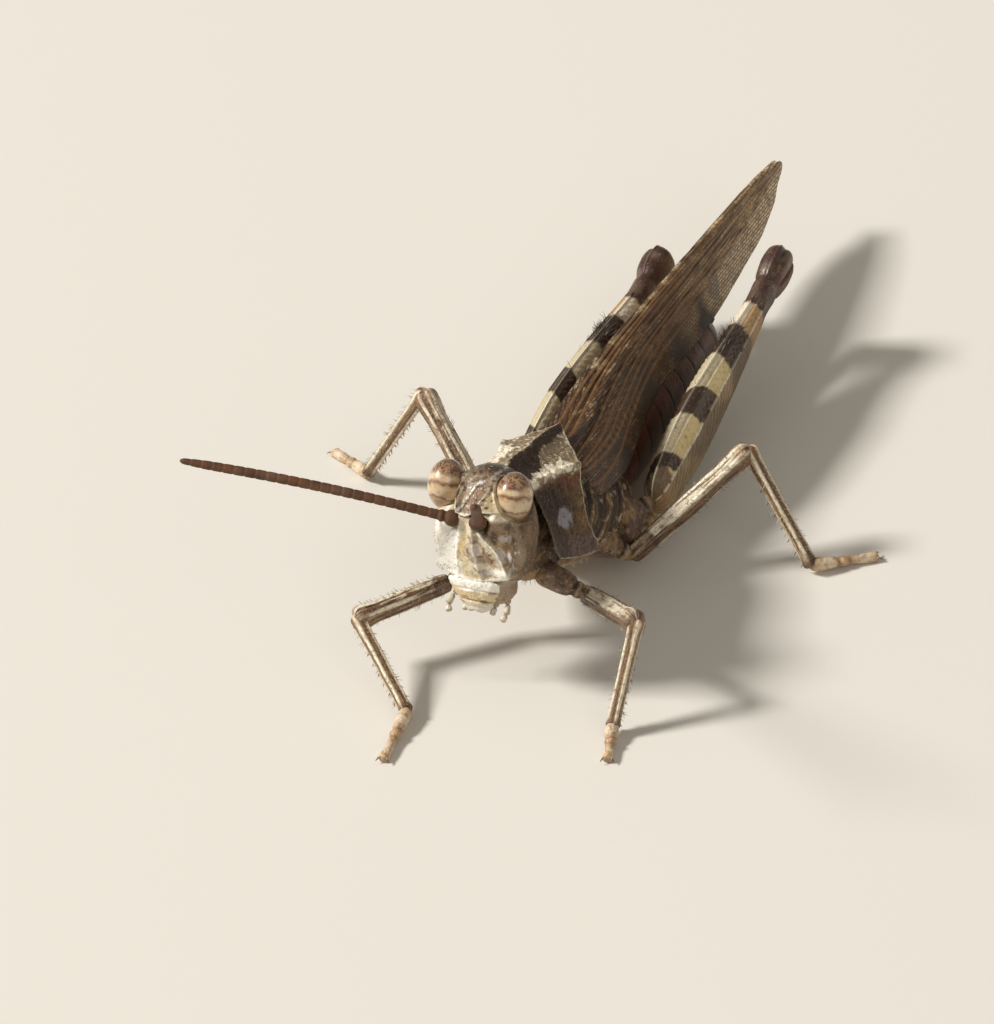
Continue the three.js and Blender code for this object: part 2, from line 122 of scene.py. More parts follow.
def between(low, high, value, soft):
    return softStep(low - soft, low + soft, value) * (1 - softStep(high - soft, high + soft, value))


def hump(value, centre, width):
    return np.exp(-(((value - centre) / width) ** 2))


def rounded(value, power):
    return np.sign(value) * np.abs(value) ** power


def roundEnd(distance, reach):
    near = limit(distance / reach)
    return np.sqrt(1 - (1 - near) ** 2)


def roundEnds(t, reach):
    return roundEnd(np.minimum(t, 1 - t), reach)


def grain(points, size, seed=0):  # smooth lumps of one size, from 0 to 1
    place = np.asarray(points) / size + seed * 17.31
    cell = np.floor(place).astype(np.int64)
    part = place - cell
    part = part * part * (3 - 2 * part)
    total = 0
    for corner in itertools.product((0, 1), repeat=3):
        at = cell + np.array(corner)
        mixed = (at[:, 0] * 73856093) ^ (at[:, 1] * 19349663) ^ (at[:, 2] * 83492791)
        mixed = ((mixed ^ (mixed >> 13)) * 1274126177) & 0xFFFFFF
        weight = np.prod(np.where(np.array(corner) == 1, part, 1 - part), axis=1)
        total = total + weight * (mixed / 0xFFFFFF)
    return total


def clouds(points, size, seed=0):  # three sizes of lumps together, about 0
    lumps = enumerate(((1, 0.55), (2.1, 0.28), (4.3, 0.17)))  # how much finer, and their share
    return sum(grain(points, size / finer, seed + i) * share for i, (finer, share) in lumps) - 0.5


# meshes


def toObject(name, bm, marks=None):
    mesh = bpy.data.meshes.new(name)
    bm.to_mesh(mesh)
    bm.free()
    mesh.shade_smooth()
    for mark, values in (marks or {}).items():
        layer = mesh.attributes.new(mark, "FLOAT", "POINT")
        layer.data.foreach_set("value", limit(np.asarray(values, np.float32)))
    piece = bpy.data.objects.new(name, mesh)
    bpy.context.scene.collection.objects.link(piece)
    return piece


def settle(bm, points, seat):  # puts the vertices where points says, from a body frame to metres
    seated = (points @ np.array(seat.to_3x3()).T + np.array(seat.translation)) * mm
    for vertex, at in zip(bm.verts, seated.tolist()):
        vertex.co = at


skins = {}  # every closed form's own unwrap: the way along it and round it, for each vertex


def closedForm(name, around, steps, place, seat, marks=None):
    bm = bmesh.new()
    bmesh.ops.create_uvsphere(bm, u_segments=around, v_segments=steps, radius=1)
    ball = np.array([vertex.co for vertex in bm.verts])
    t = np.arccos(np.clip(ball[:, 2], -1, 1)) / math.pi
    angle = np.arctan2(ball[:, 1], ball[:, 0])
    points = place(t, angle)
    settle(bm, points, seat)
    if bm.calc_volume(signed=True) < 0:  # faces point outwards on both sides of the body
        bmesh.ops.reverse_faces(bm, faces=bm.faces)
    skins[name] = np.stack([t, angle / (2 * math.pi) + 0.5], 1)
    return toObject(name, bm, marks(points, t, angle) if marks else None)


def sheetForm(name, along, across, place, seat, thickness, marks=None):
    bm = bmesh.new()
    bmesh.ops.create_grid(bm, x_segments=along, y_segments=across, size=1)
    flat = np.array([vertex.co for vertex in bm.verts])
    u, v = (flat[:, 0] + 1) / 2, (flat[:, 1] + 1) / 2
    points = place(u, v)
    settle(bm, points, seat)
    piece = toObject(name, bm, marks(points, u, v) if marks else None)
    wall = piece.modifiers.new("wall", "SOLIDIFY")
    wall.thickness = thickness * mm
    wall.offset = -1
    return piece


# the piece is done: its finish, its body and the solids it stands for
def hand(piece, material, slot, *nodes):
    piece.data.materials.append(material)
    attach(piece, "root")
    if nodes:
        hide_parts(*nodes)
    return piece


# materials


def toLinear(code):
    channels = [int(code[i : i + 2], 16) / 255 for i in (0, 2, 4)]
    bright = [c / 12.92 if c <= 0.04045 else ((c + 0.055) / 1.055) ** 2.4 for c in channels]
    return (*bright, 1)


def addNode(tree, kind, inputs=None, **settings):
    made = tree.nodes.new("ShaderNode" + kind)
    for name, value in settings.items():
        setattr(made, name, value)
    for name, value in (inputs or {}).items():
        if isinstance(value, bpy.types.NodeSocket):
            tree.links.new(value, made.inputs[name])
        else:
            made.inputs[name].default_value = value
    return made


mixFactor, mixA, mixB, mixResult = 0, 6, 7, 2  # sockets of a colour Mix node


def newMaterial(name):
    material = bpy.data.materials.new(name)
    material.use_nodes = True
    material.node_tree.nodes.clear()
    return material, material.node_tree


def perMetre(size):
    return 1 / (size * mm)


# colours laid one over another, each where a painted mark or a pattern says
def layOver(tree, colour, coats):
    for where, shade in coats:
        if isinstance(where, str):
            where = addNode(tree, "Attribute", attribute_name=where).outputs["Fac"]
        parts = {mixFactor: where, mixA: colour, mixB: toLinear(shade)}
        colour = addNode(tree, "Mix", parts, data_type="RGBA").outputs[mixResult]
    return colour


def closeMaterial(material, settings):
    shader = addNode(material.node_tree, "BsdfPrincipled", settings)
    addNode(material.node_tree, "OutputMaterial", {"Surface": shader.outputs[0]})
    return material


# insect cuticle: sclerotin, grown and not moulded, with a waxy satin gloss. Pigment lies in
# blots and specks below the surface, pits and fine wrinkles make the bump
def makeCuticle(name, look):
    material, tree = newMaterial(name)
    place = addNode(tree, "TexCoord").outputs["Object"]
    blotNoise = {"Vector": place, "Scale": perMetre(look["blot"]), "Detail": 4.0}
    blots = addNode(tree, "TexNoise", blotNoise).outputs["Fac"]
    spread = addNode(tree, "MapRange", {"Value": blots, "From Min": 0.38, "From Max": 0.66})
    coats = [(spread.outputs["Result"], look["blotColour"]), *look["marks"].items()]
    for size, shade, amount, least in look["specks"]:
        fine = addNode(tree, "TexNoise", {"Vector": place, "Scale": perMetre(size), "Detail": 2.0})
        span = {"From Min": least, "From Max": least + 0.07, "To Max": amount}
        spots = addNode(tree, "MapRange", {"Value": fine.outputs["Fac"], **span})
        coats.append((spots.outputs["Result"], shade))
    pits = addNode(tree, "TexVoronoi", {"Vector": place, "Scale": perMetre(look["pit"])})
    wrinkleNoise = {"Vector": place, "Scale": perMetre(look["pit"] * 1.7), "Detail": 3.0}
    wrinkles = addNode(tree, "TexNoise", wrinkleNoise)
    heights = {0: pits.outputs["Distance"], 1: wrinkles.outputs["Fac"]}
    relief = addNode(tree, "Math", heights, operation="ADD").outputs[0]
    dents = {"Height": relief, "Strength": look["bump"], "Distance": look["pit"] * 0.35 * mm}
    settings = {
        "Base Color": layOver(tree, toLinear(look["ground"]), coats),
        "Roughness": look["rough"],
        "IOR": 1.56,
        "Normal": addNode(tree, "Bump", dents).outputs["Normal"],
        "Coat Weight": look.get("coat", 0.0),
        "Coat Roughness": 0.2,
    }
    return closeMaterial(material, settings)


# each look: colours, the size of blots and pits in millimetres, then size, colour, strength and
# threshold of the specks
faceLook = {
    "ground": "e2d8c0", "blotColour": "c9b796", "blot": 0.7,
    "marks": {
        "crownGrey": "85705a", "cheekPlum": "86694f", "cheekOlive": "4f3a1b",
        "faceOlive": "4d3c1f", "faceYellow": "ccb482", "faceGrey": "bdb3ac",
        "faceBrown": "7c5833", "faceDark": "2e1d12", "faceWhite": "f5f2ea",
    },
    "specks": [(0.12, "5c432d", 0.4, 0.61), (0.07, "f3e9d2", 0.25, 0.63)],
    "pit": 0.09, "bump": 0.5, "rough": 0.5, "coat": 0.15,
}
shieldLook = {
    "ground": "674c2f", "blotColour": "4c351f", "blot": 0.8,
    "marks": {
        "shieldPale": "948369", "shieldOlive": "5a4526", "shieldTan": "8a6a40",
        "shieldRed": "7d4a30", "shieldPlum": "6c5a58", "shieldDark": "2e180a",
        "shieldBlue": "92909a", "shieldWhite": "f0e7d2",
    },
    "specks": [(0.13, "2f1f14", 0.5, 0.6), (0.08, "cdb993", 0.25, 0.64)],
    "pit": 0.13, "bump": 0.8, "rough": 0.72,
}
bodyLook = {
    "ground": "5d4529", "blotColour": "44311d", "blot": 0.8,
    "marks": {
        "bodyTan": "9c7c4a", "bodyPlum": "7a625a", "bodyRed": "5a2f1d", "bodyDark": "24170e",
        "bodyPale": "b5a48a",
    },
    "specks": [(0.14, "2c1e14", 0.5, 0.59), (0.09, "c4ae88", 0.3, 0.64)],
    "pit": 0.12, "bump": 0.6, "rough": 0.58,
}
bellyLook = {
    "ground": "743a20", "blotColour": "5a2c19", "blot": 0.9,
    "marks": {"bellyPale": "a47b4e", "bellyDark": "28140d"},
    "specks": [(0.12, "43261a", 0.4, 0.6)],
    "pit": 0.1, "bump": 0.4, "rough": 0.5, "coat": 0.2,
}
legLook = {
    "ground": "c9b48c", "blotColour": "b0956b", "blot": 0.5,
    "marks": {"legPink": "cda27e", "legBrown": "785736", "legDark": "40291b", "legWhite": "f2e9d4"},
    "specks": [
        (0.2, "7d5f3e", 0.5, 0.56), (0.08, "4a3322", 0.4, 0.61), (0.06, "f2e8d2", 0.3, 0.62),
    ],
    "pit": 0.08, "bump": 0.6, "rough": 0.5, "coat": 0.1,
}
thighLook = {
    "ground": "dccb9f", "blotColour": "c6b182", "blot": 0.6,
    "marks": {
        "thighGrey": "c6bb9f", "thighYellow": "e0ca8c", "thighOlive": "745630",
        "thighTan": "ad8152", "thighDark": "3a2312", "kneePlum": "42241c", "kneeRed": "6b3826",
        "thighWhite": "f5eeda",
    },
    "specks": [(0.08, "574638", 0.55, 0.61), (0.07, "efe7d6", 0.25, 0.64)],
    "pit": 0.08, "bump": 0.4, "rough": 0.48, "coat": 0.15,
}
hornLook = {
    "ground": "603a1c", "blotColour": "472a14", "blot": 0.4,
    "marks": {"hornPale": "8e715c", "hornDark": "1d1411"},
    "specks": [(0.06, "80644f", 0.25, 0.62)],
    "pit": 0.06, "bump": 0.3, "rough": 0.75,
}
faceCuticle = makeCuticle("paleFaceCuticle", faceLook)
shieldCuticle = makeCuticle("roughShieldCuticle", shieldLook)
bodyCuticle = makeCuticle("downyBodyCuticle", bodyLook)
bellyCuticle = makeCuticle("bandedBellyCuticle", bellyLook)
legCuticle = makeCuticle("stripedLegCuticle", legLook)
thighCuticle = makeCuticle("bandedThighCuticle", thighLook)
hornCuticle = makeCuticle("darkHornCuticle", hornLook)

eyeLook = {
    "ground": "bfa17f",
    "marks": {"eyePale": "e2cdaa", "eyeStripe": "875d3c", "eyeCap": "8a6045", "eyeLine": "3a2012"},
    "fleck": 0.11, "fleckColour": "7d5545",
    "facet": 0.035,  # real facets are finer
    "rough": 0.3, "coat": 0.8,
}


# compound eye: a clear cornea over pigment, so a wet gloss over stripes and mottling
def makeEyeFinish(look):
    material, tree = newMaterial("glossyEyeCornea")
    place = addNode(tree, "TexCoord").outputs["Object"]
    fleckNoise = {"Vector": place, "Scale": perMetre(look["fleck"]), "Detail": 3.0}
    flecks = addNode(tree, "TexNoise", fleckNoise).outputs["Fac"]
    span = {"From Min": 0.55, "From Max": 0.66, "To Max": 0.35}
    spots = addNode(tree, "MapRange", {"Value": flecks, **span}).outputs["Result"]
    coats = [*look["marks"].items(), (spots, look["fleckColour"])]
    facets = addNode(tree, "TexVoronoi", {"Vector": place, "Scale": perMetre(look["facet"])})
    dents = {"Height": facets.outputs["Distance"], "Strength": 0.12, "Distance": 0.01 * mm}
    settings = {
        "Base Color": layOver(tree, toLinear(look["ground"]), coats),
        "Roughness": look["rough"],
        "IOR": 1.5,
        "Coat Weight": look["coat"],
        "Coat Roughness": 0.08,
        "Normal": addNode(tree, "Bump", dents).outputs["Normal"],
    }
    return closeMaterial(material, settings)


eyeCornea = makeEyeFinish(eyeLook)

wingLook = {
    "ground": "684628", "blotColour": "8a623a", "blot": 0.9,
    "cell": (0.3, 0.135),  # along and across the wing, coarser than real cells, so that they show
    "veinHalf": 0.028,
    "waver": (0.3, 0.06, 0.0),  # how far the cells bend, along and across
    "darkCell": "2b1a0f", "paleCell": "b09468",
    "marks": {
        "wingTip": "dcc095", "wingRed": "87583a", "wingGrey": "8f7c6c", "wingCream": "d8c49c",
        "wingDark": "281910", "wingGreen": "35301c",
    },
    "fineVein": "1f120b", "mainVein": "7d5833",
    "rough": 0.45,
}


# wing membrane: a thin dry film stretched between veins, which stand up as fine lines
def makeWingFinish(look):
    material, tree = newMaterial("veinedWingMembrane")
    place = addNode(tree, "TexCoord").outputs["Object"]
    sheet = addNode(tree, "Attribute", attribute_name="wingPlace").outputs["Vector"]
    waver = addNode(tree, "TexNoise", {"Vector": sheet, "Scale": 1.3, "Detail": 2.0})
    pulls = {0: waver.outputs["Color"], 1: look["waver"]}
    pull = addNode(tree, "VectorMath", pulls, operation="MULTIPLY").outputs[0]
    bent = addNode(tree, "VectorMath", {0: sheet, 1: pull}, operation="ADD").outputs[0]
    network = {
        "Vector": bent,
        "Scale": 1.0,
        "Mortar Size": look["veinHalf"],
        "Mortar Smooth": 0.3,
        "Brick Width": look["cell"][0],
        "Row Height": look["cell"][1],
        "Color1": (0, 0, 0, 1),
        "Color2": (1, 1, 1, 1),
        "Mortar": (0.5, 0.5, 0.5, 1),
    }
    cells = addNode(tree, "TexBrick", network)
    veins, tone = cells.outputs["Fac"], cells.outputs["Color"]
    blotNoise = {"Vector": place, "Scale": perMetre(look["blot"]), "Detail": 5.0}
    blots = addNode(tree, "TexNoise", blotNoise).outputs["Fac"]
    patterns = [
        (blots, {"From Min": 0.4, "From Max": 0.62}, look["blotColour"]),
        (tone, {"From Min": 0.2, "From Max": 1.0, "To Max": 0.7}, look["darkCell"]),
        (tone, {"From Min": 0.2, "From Max": 0.05, "To Max": 0.45}, look["paleCell"]),
        (veins, {"To Max": 0.75}, look["fineVein"]),
    ]
    coats = []
    for value, span, shade in patterns:
        amount = addNode(tree, "MapRange", {"Value": value, **span}).outputs["Result"]
        coats.append((amount, shade))
    coats[3:3] = look["marks"].items()  # the veins stand over the marks
    coats.append(("wingVein", look["mainVein"]))
    dents = {"Height": veins, "Strength": 0.9, "Distance": 0.035 * mm}
    settings = {
        "Base Color": layOver(tree, toLinear(look["ground"]), coats),
        "Roughness": look["rough"],
        "IOR": 1.56,
        "Normal": addNode(tree, "Bump", dents).outputs["Normal"],
    }
    return closeMaterial(material, settings)


wingMembrane = makeWingFinish(wingLook)

hairLook = {"ground": "d8cdb8", "toneColour": "8f7c66", "tone": 0.6, "dark": "2c1d14", "rough": 0.4}


# fine hairs: single bristles of clear horn, pale where light catches them
def makeHairFinish(look):
    material, tree = newMaterial("paleBristleHorn")
    place = addNode(tree, "TexCoord").outputs["Object"]
    toneNoise = {"Vector": place, "Scale": perMetre(look["tone"]), "Detail": 1.0}
    tone = addNode(tree, "TexNoise", toneNoise).outputs["Fac"]
    coats = [(tone, look["toneColour"]), ("hairDark", look["dark"])]
    colour = layOver(tree, toLinear(look["ground"]), coats)
    return closeMaterial(material, {"Base Color": colour, "Roughness": look["rough"], "IOR": 1.55})


bristleHorn = makeHairFinish(hairLook)
print("finishes made")

# head

headShape = {
    "crown": 1.98,
    "cheek": -2.05,
    "half": [(-2.05, 1.35), (-1.2, 1.7), (0, 1.78), (1.0, 1.38), (1.6, 0.86), (2.05, 0.42)],
    "front": [(-2.05, -2.2), (-1.2, -2.5), (0, -2.6), (1, -2.5), (1.6, -2.15), (2.05, -1.5)],
    "back": [(-2.05, -0.5), (-1.2, -0.15), (0, 0.1), (1.2, 0.1), (1.75, -0.2), (2.05, -0.7)],
    "ridgeHalf": [(-2.05, 0.5), (-1.5, 0.44), (-0.6, 0.34), (0, 0.28), (0.5, 0.24), (1.0, 0.2)],
    "ridgeHigh": 0.1,
    "sideLine": [(-1.9, 1.16), (-1.3, 1.26), (-0.5, 1.04), (-0.05, 0.62), (0.2, 0.45)],
    "socket": (0.56, 0.4),  # where a feeler leaves the face
    "socketReach": (0.34, 0.34),
    "socketDeep": 0.24,
    "browTip": 0.72,
    "brow": 0.86,
    # the crown's outer keels: how far out at the brow and higher up, on the left and the right
    "crownArms": {1: (0.36, 0.6), -1: (0.26, 0.4)},
    "crownMiddle": (-0.59, 0.44),  # its middle keel: where it would meet height 0, and its lean
    "suture": -1.74,
}
# spots of colour on the face: across and up from its middle, then their half width and half height
faceSpots = {
    "faceWhite": [
        (1.2, -1.34, 0.32, 0.22), (0.97, 0.7, 0.12, 0.13), (-0.95, 0.72, 0.12, 0.12),
        (0.72, 1.88, 0.08, 0.05), (-0.52, 1.8, 0.08, 0.07), (-0.6, -0.2, 0.35, 0.6),
        (-0.9, -1.0, 0.4, 0.45), (1.42, -0.7, 0.06, 0.2), (-0.72, 0.95, 0.14, 0.1),
    ],
    "faceOlive": [(1.0, 0.0, 0.16, 0.26), (1.4, 0.35, 0.14, 0.2), (0.66, 0.08, 0.1, 0.16)],
    "faceGrey": [
        (0.32, -0.48, 0.24, 0.22), (1.3, -0.02, 0.22, 0.13), (1.15, -0.75, 0.16, 0.4),
        (-0.75, 0.1, 0.1, 0.35), (-1.05, -0.6, 0.06, 0.4), (0.6, -1.3, 0.35, 0.12),
    ],
    "faceBrown": [
        (0.28, -0.06, 0.17, 0.12), (0.42, -0.88, 0.26, 0.12), (0.74, -0.82, 0.14, 0.2),
        (0.62, -0.55, 0.07, 0.16), (1.32, -0.35, 0.16, 0.13), (0.3, -0.2, 0.1, 0.06),
        (0.5, -0.72, 0.1, 0.05), (0.08, -0.62, 0.06, 0.16), (-0.35, -0.85, 0.05, 0.3),
        (1.3, -1.0, 0.08, 0.1),
    ],
    "faceDark": [
        (-1.05, 0.36, 0.06, 0.05), (1.02, -0.02, 0.06, 0.12), (0.75, 1.05, 0.07, 0.05),
        (0.62, 1.3, 0.04, 0.05), (0.1, 1.75, 0.08, 0.04), (0.45, 1.85, 0.06, 0.04),
        (-0.4, 1.35, 0.05, 0.12), (0.85, 1.25, 0.03, 0.04),
    ],
}
eyeShape = {
    "centre": (1.37, -1.38, 1.14),
    "radii": (0.63, 0.72, 0.87),
    "slant": 14,
    "shift": {1: (-0.18, 0, 0), -1: (-0.01, -0.15, 0.08)},  # the head is held a little askew
}


def eyeCentre(side):
    return np.array(eyeShape["centre"]) * (side, 1, 1) + eyeShape["shift"][side]


def slanted(points, degrees):  # turned about the axis across the head
    lean = math.radians(degrees)
    x, y, z = points.T
    y, z = y * math.cos(lean) - z * math.sin(lean), y * math.sin(lean) + z * math.cos(lean)
    return np.stack([x, y, z], 1)


def eyeDistance(points, side):  # 1 on the eye's surface
    moved = slanted(points - eyeCentre(side), eyeShape["slant"])
    return np.linalg.norm(moved / eyeShape["radii"], axis=1)


ridgeHalf = curveThrough(headShape["ridgeHalf"])
sideLine = curveThrough(headShape["sideLine"])


def browLine(x):
    return mix(headShape["browTip"], headShape["brow"], softStep(0.02, 0.5, np.abs(x)))


def crownArms(x, z):
    rise = softStep(0.9, 1.6, z)
    left, right = (mix(*headShape["crownArms"][side], rise) for side in (1, -1))
    return np.where(x > 0, left, right)


def crownMiddle(z):
    foot, lean = headShape["crownMiddle"]
    return foot + lean * z


def sutureLine(width):
    return headShape["suture"] + 0.1 * width**2


def placeHead(t, angle):
    z = mix(headShape["crown"], headShape["cheek"], t)
    half, front, back = profiles(headShape, z, "half", "front", "back")
    end = roundEnds(t, 0.1)
    cos, sin = rounded(np.cos(angle), 0.85), rounded(np.sin(angle), 0.85)
    x, y = half * cos * end, (front + back) / 2 + (back - front) / 2 * sin * end
    points = np.stack([x, y, z], 1)
    outward = unit(np.stack([np.cos(angle), np.sin(angle) * 1.1, np.zeros_like(t)], 1))
    face = softStep(0.35, 0.8, -np.sin(angle)) * end
    wobble = clouds(points, 0.5, 77) * 0.12
    width = np.abs(x) + wobble * 0.5
    # the ridge down the middle of the face, with its rims, furrow and swelling
    ridge = ridgeHalf(z) + wobble * 0.5
    lift = headShape["ridgeHigh"] * (1 - softStep(ridge - 0.06, ridge + 0.12, width))
    lift = (lift + 0.04 * hump(width, ridge, 0.05)) * (1 - softStep(0.6, 0.95, z))
    lift -= 0.08 * hump(x, 0, 0.14) * between(-0.3, 0.55, z, 0.15)
    lift += 0.06 * limit(1.2 - np.hypot((x - 0.3) / 0.26, (z + 0.48) / 0.28))
    # the side keels, the lower corners and the hollows
    line = sideLine(z) + wobble * 0.4
    lift += 0.1 * hump(width, line, 0.06) * (1 - softStep(0.05, 0.3, z)) * softStep(-1.9, -1.6, z)
    lift += 0.2 * hump(width, 1.2, 0.26) * hump(z, -1.36, 0.22)
    lift -= 0.03 * between(0.45, 0.95, width, 0.15) * between(-1.3, 0.1, z, 0.25)
    lift -= 0.09 * hump(width, line + 0.2, 0.12) * between(-0.9, 0.2, z, 0.2)
    # the feelers' sockets, under the brow
    sx, sz = headShape["socket"]
    rx, rz = headShape["socketReach"]
    socket = np.hypot((width - sx) / rx, (z - sz) / rz)
    lift -= headShape["socketDeep"] * (1 - softStep(0.45, 1.05, socket))
    above = z - browLine(x) + wobble * 0.4
    lift += 0.14 * softStep(-0.05, 0.04, above) * (1 - softStep(0.3, 0.95, above)) * (width < 1.15)
    # the crown's keels and the dish between them
    arms = crownArms(x, z) + wobble * 0.5
    lift += 0.09 * hump(width, arms, 0.06) * softStep(0.68, 0.85, z)
    lift += 0.045 * hump(x, crownMiddle(z) + wobble, 0.08) * between(0.85, 1.68, z, 0.12)
    lift += 0.05 * hump(z, 1.6 + 0.4 * x + wobble, 0.08) * between(0.1, 0.45, x, 0.15)
    dish = (1 - softStep(0.5, 0.98, width / arms)) * softStep(0.8, 1.1, z)
    lift -= 0.13 * dish * (1 - softStep(1.5, 1.75, z))
    lift -= 0.07 * hump(width, 0.86, 0.12) * hump(z, 1.3, 0.25)
    # room for the right eye, and a bead under each eye
    orbit = np.hypot((x + 1.25) / 0.8, (z - 1.14) / 0.95)
    lift -= 0.62 * (1 - softStep(0.85, 1.1, orbit)) * softStep(0.55, 0.8, z)
    lift += 0.2 * limit(1.3 - np.hypot((width - 0.97) / 0.12, (z - 0.7) / 0.14))
    # the suture over the lip
    lift += 0.07 * hump(z, sutureLine(width) + 0.07, 0.08)
    lift -= 0.08 * hump(z, sutureLine(width) - 0.08, 0.04)
    lift *= face
    cheek = softStep(1.1, 1.3, width)
    lift -= 0.08 * hump(y, -2.0 + wobble, 0.06) * cheek * between(-1.9, 0.3, z, 0.15)
    lift += 0.06 * hump(y, -1.7 + wobble, 0.14) * cheek * between(-1.9, 0.2, z, 0.2)
    lift -= 0.07 * hump(y, -1.15, 0.1) * cheek * between(-1.8, 0.6, z, 0.2)
    for side in sides.values():
        near = eyeDistance(points, side)
        lift += 0.08 * hump(near, 1.15, 0.06) - 0.12 * (1 - softStep(0.8, 1.05, near))
    lift += (clouds(points, 0.35, 3) * 0.06 + clouds(points, 0.12, 4) * 0.035) * end
    return points + outward * lift[:, None]


def spotsOn(x, z, rows, spot):  # soft spots with a broken edge
    reach = [np.hypot((x - place) / half, (z - up) / tall) for place, up, half, tall in rows]
    inside = sum(limit(1.6 - 1.2 * far) for far in reach)
    return limit(inside + 2.5 * spot * sum(hump(far, 1, 0.3) for far in reach))


def markHead(points, t, angle):
    x, y, z = points.T
    blot, spot, fine = clouds(points, 0.5, 5), clouds(points, 0.22, 9), clouds(points, 0.1, 15)
    streak = clouds(points * (1, 1, 0.3), 0.16, 19)
    width = np.abs(x)
    front = 1 - softStep(-2.2, -1.6, y + blot * 0.5)
    ridge, line, arms = ridgeHalf(z), sideLine(z), crownArms(x, z)
    above, middle = z - browLine(x), crownMiddle(z)
    crown = softStep(1.42, 1.62, z + blot * 0.4)
    inside = between(-0.3, arms, x + spot * 0.1, 0.03) * between(0.8, 1.62, z, 0.08)
    wedge = inside * softStep(0.0, 0.06, x - middle)
    cheek = softStep(line + 0.03, line + 0.12, width + spot * 0.15)
    cheek *= 1 - softStep(0.45, 0.62, z)
    # left: the side turned away from the key light. Where a mark is weighted by it, the extra dark
    # on this side is painted shade
    left = softStep(-0.3, 0.1, x)
    spots = {mark: spotsOn(x, z, rows, spot) * front for mark, rows in faceSpots.items()}
    sx, sz = headShape["socket"]
    socket = np.hypot((width - sx) / 0.34, (z - sz) / 0.36)
    ring = hump(np.hypot((x - 0.34) / 0.26, (z + 0.5) / 0.28) + spot * 1.6, 1, 0.28)
    cheekLine = hump(y, -2.02, 0.05) * between(-1.7, 0.2, z, 0.15) * (width > 1.1)
    yellow = hump(x + streak * 0.6, -0.1, 0.2) * between(-1.4, 0.1, z, 0.25) * (0.5 + 2 * streak)
    yellow += hump(width, 0.8, 0.12) * hump(z, 1.25, 0.3) * 0.7
    yellow += softStep(0.05, 0.2, streak) * 0.35 * (1 - crown)
    white = spots["faceWhite"] + hump(above, 0.035, 0.03) * (width < 0.95) * 0.7
    white += hump(width, line, 0.055) * between(-1.6, 0.1, z, 0.12) * (0.75 + 2 * spot)
    white += hump(z, sutureLine(width) + 0.07, 0.07) * 0.85 * (width < 1.3)
    white += hump(width, ridge, 0.05) * between(-1.5, 0.5, z, 0.2) * (0.35 + 2 * spot)
    # the right half of the face, turned to the key light, painted near white: its pale colour with
    # painted highlight
    white += (1 - softStep(-0.5, -0.15, x + streak * 0.8)) * (z < 0.5) * limit(0.95 + streak * 2.5)
    keel = hump(x + spot * 0.2, middle, 0.045) * between(0.85, 1.66, z, 0.06)
    white += keel * limit(0.6 + 5 * fine)
    keel = hump(z + spot * 0.2, 1.6 + 0.4 * x, 0.06) * between(0.12, 0.5, x, 0.08)
    white += keel * limit(0.4 + 5 * fine)
    white += softStep(0.14, 0.22, -fine) * crown * 0.4
    white += hump(y, -1.95, 0.05) * softStep(0.05, 0.15, spot) * between(-1.3, -0.3, z, 0.1) * 2
    return {
        "crownGrey": 0.95
        * np.maximum(np.maximum(crown, inside * 0.9), softStep(0.9, 1.3, z) * (1 - front)),
        "cheekPlum": cheek * front * (0.55 + 0.35 * left),
        "cheekOlive": (1 - front) * (1 - softStep(0.8, 1.3, z)) * (0.45 + 0.5 * left),
        "faceYellow": limit(yellow) * front,
        "faceGrey": spots["faceGrey"],
        "faceOlive": spots["faceOlive"] * 0.85,
        "faceBrown": spots["faceBrown"] * 0.75 + ring * front * limit(0.45 + blot)
        + wedge * (0.75 + spot)
        + hump(width, line - 0.22, 0.14) * between(-1.3, -0.45, z, 0.2) * (0.2 + spot * 2) * left
        + softStep(0.08, 0.2, spot) * cheek * 0.8
        + softStep(0.04, 0.16, streak) * (1 - front) * 0.7 * (1 - softStep(0.8, 1.1, z))
        + softStep(0.05, 0.18, spot) * crown * 0.6 + softStep(1.8, 1.95, z) * 0.5,
        # dark spots and lines; the feeler sockets, a line under the brow and the stronger specks on
        # the left are painted shade
        "faceDark": spots["faceDark"] * 0.9 + (1 - softStep(0.5, 1.05, socket)) * 0.9
        + 0.55 * cheekLine * (0.6 + 2 * spot) + 0.8 * hump(above, -0.05, 0.045) * (width < 0.85)
        + softStep(0.08, 0.16, fine) * np.maximum(crown, inside) * 0.75
        + hump(x, middle + 0.07, 0.03) * inside * 0.7
        + hump(width, arms + 0.02, 0.025) * between(0.9, 1.5, z, 0.1) * 0.6
        + softStep(0.14, 0.22, fine) * 0.5 * (1 - crown) * (0.4 + 0.6 * left)
        + 0.5 * hump(z, sutureLine(width) - 0.08, 0.03) * front
        # the back of the head behind the eyes, under the shield's front edge: painted shade
        + softStep(-1.7, -1.1, y) * softStep(0.5, 1.1, z) * 0.85,
        "faceWhite": limit(white) * np.maximum(front, crown),
    }


head = closedForm("headShell", 350, 260, placeHead, headFrame, markHead)
hand(head, faceCuticle, "cuticle", "head")


def ballPoints(t, angle):
    girth = np.sin(np.pi * t)
    return np.stack([girth * np.cos(angle), girth * np.sin(angle), np.cos(np.pi * t)], 1)


def placeEye(side):
    def place(t, angle):
        ball = ballPoints(t, angle) * eyeShape["radii"]
        return slanted(ball, -eyeShape["slant"]) + eyeCentre(side)

    return place


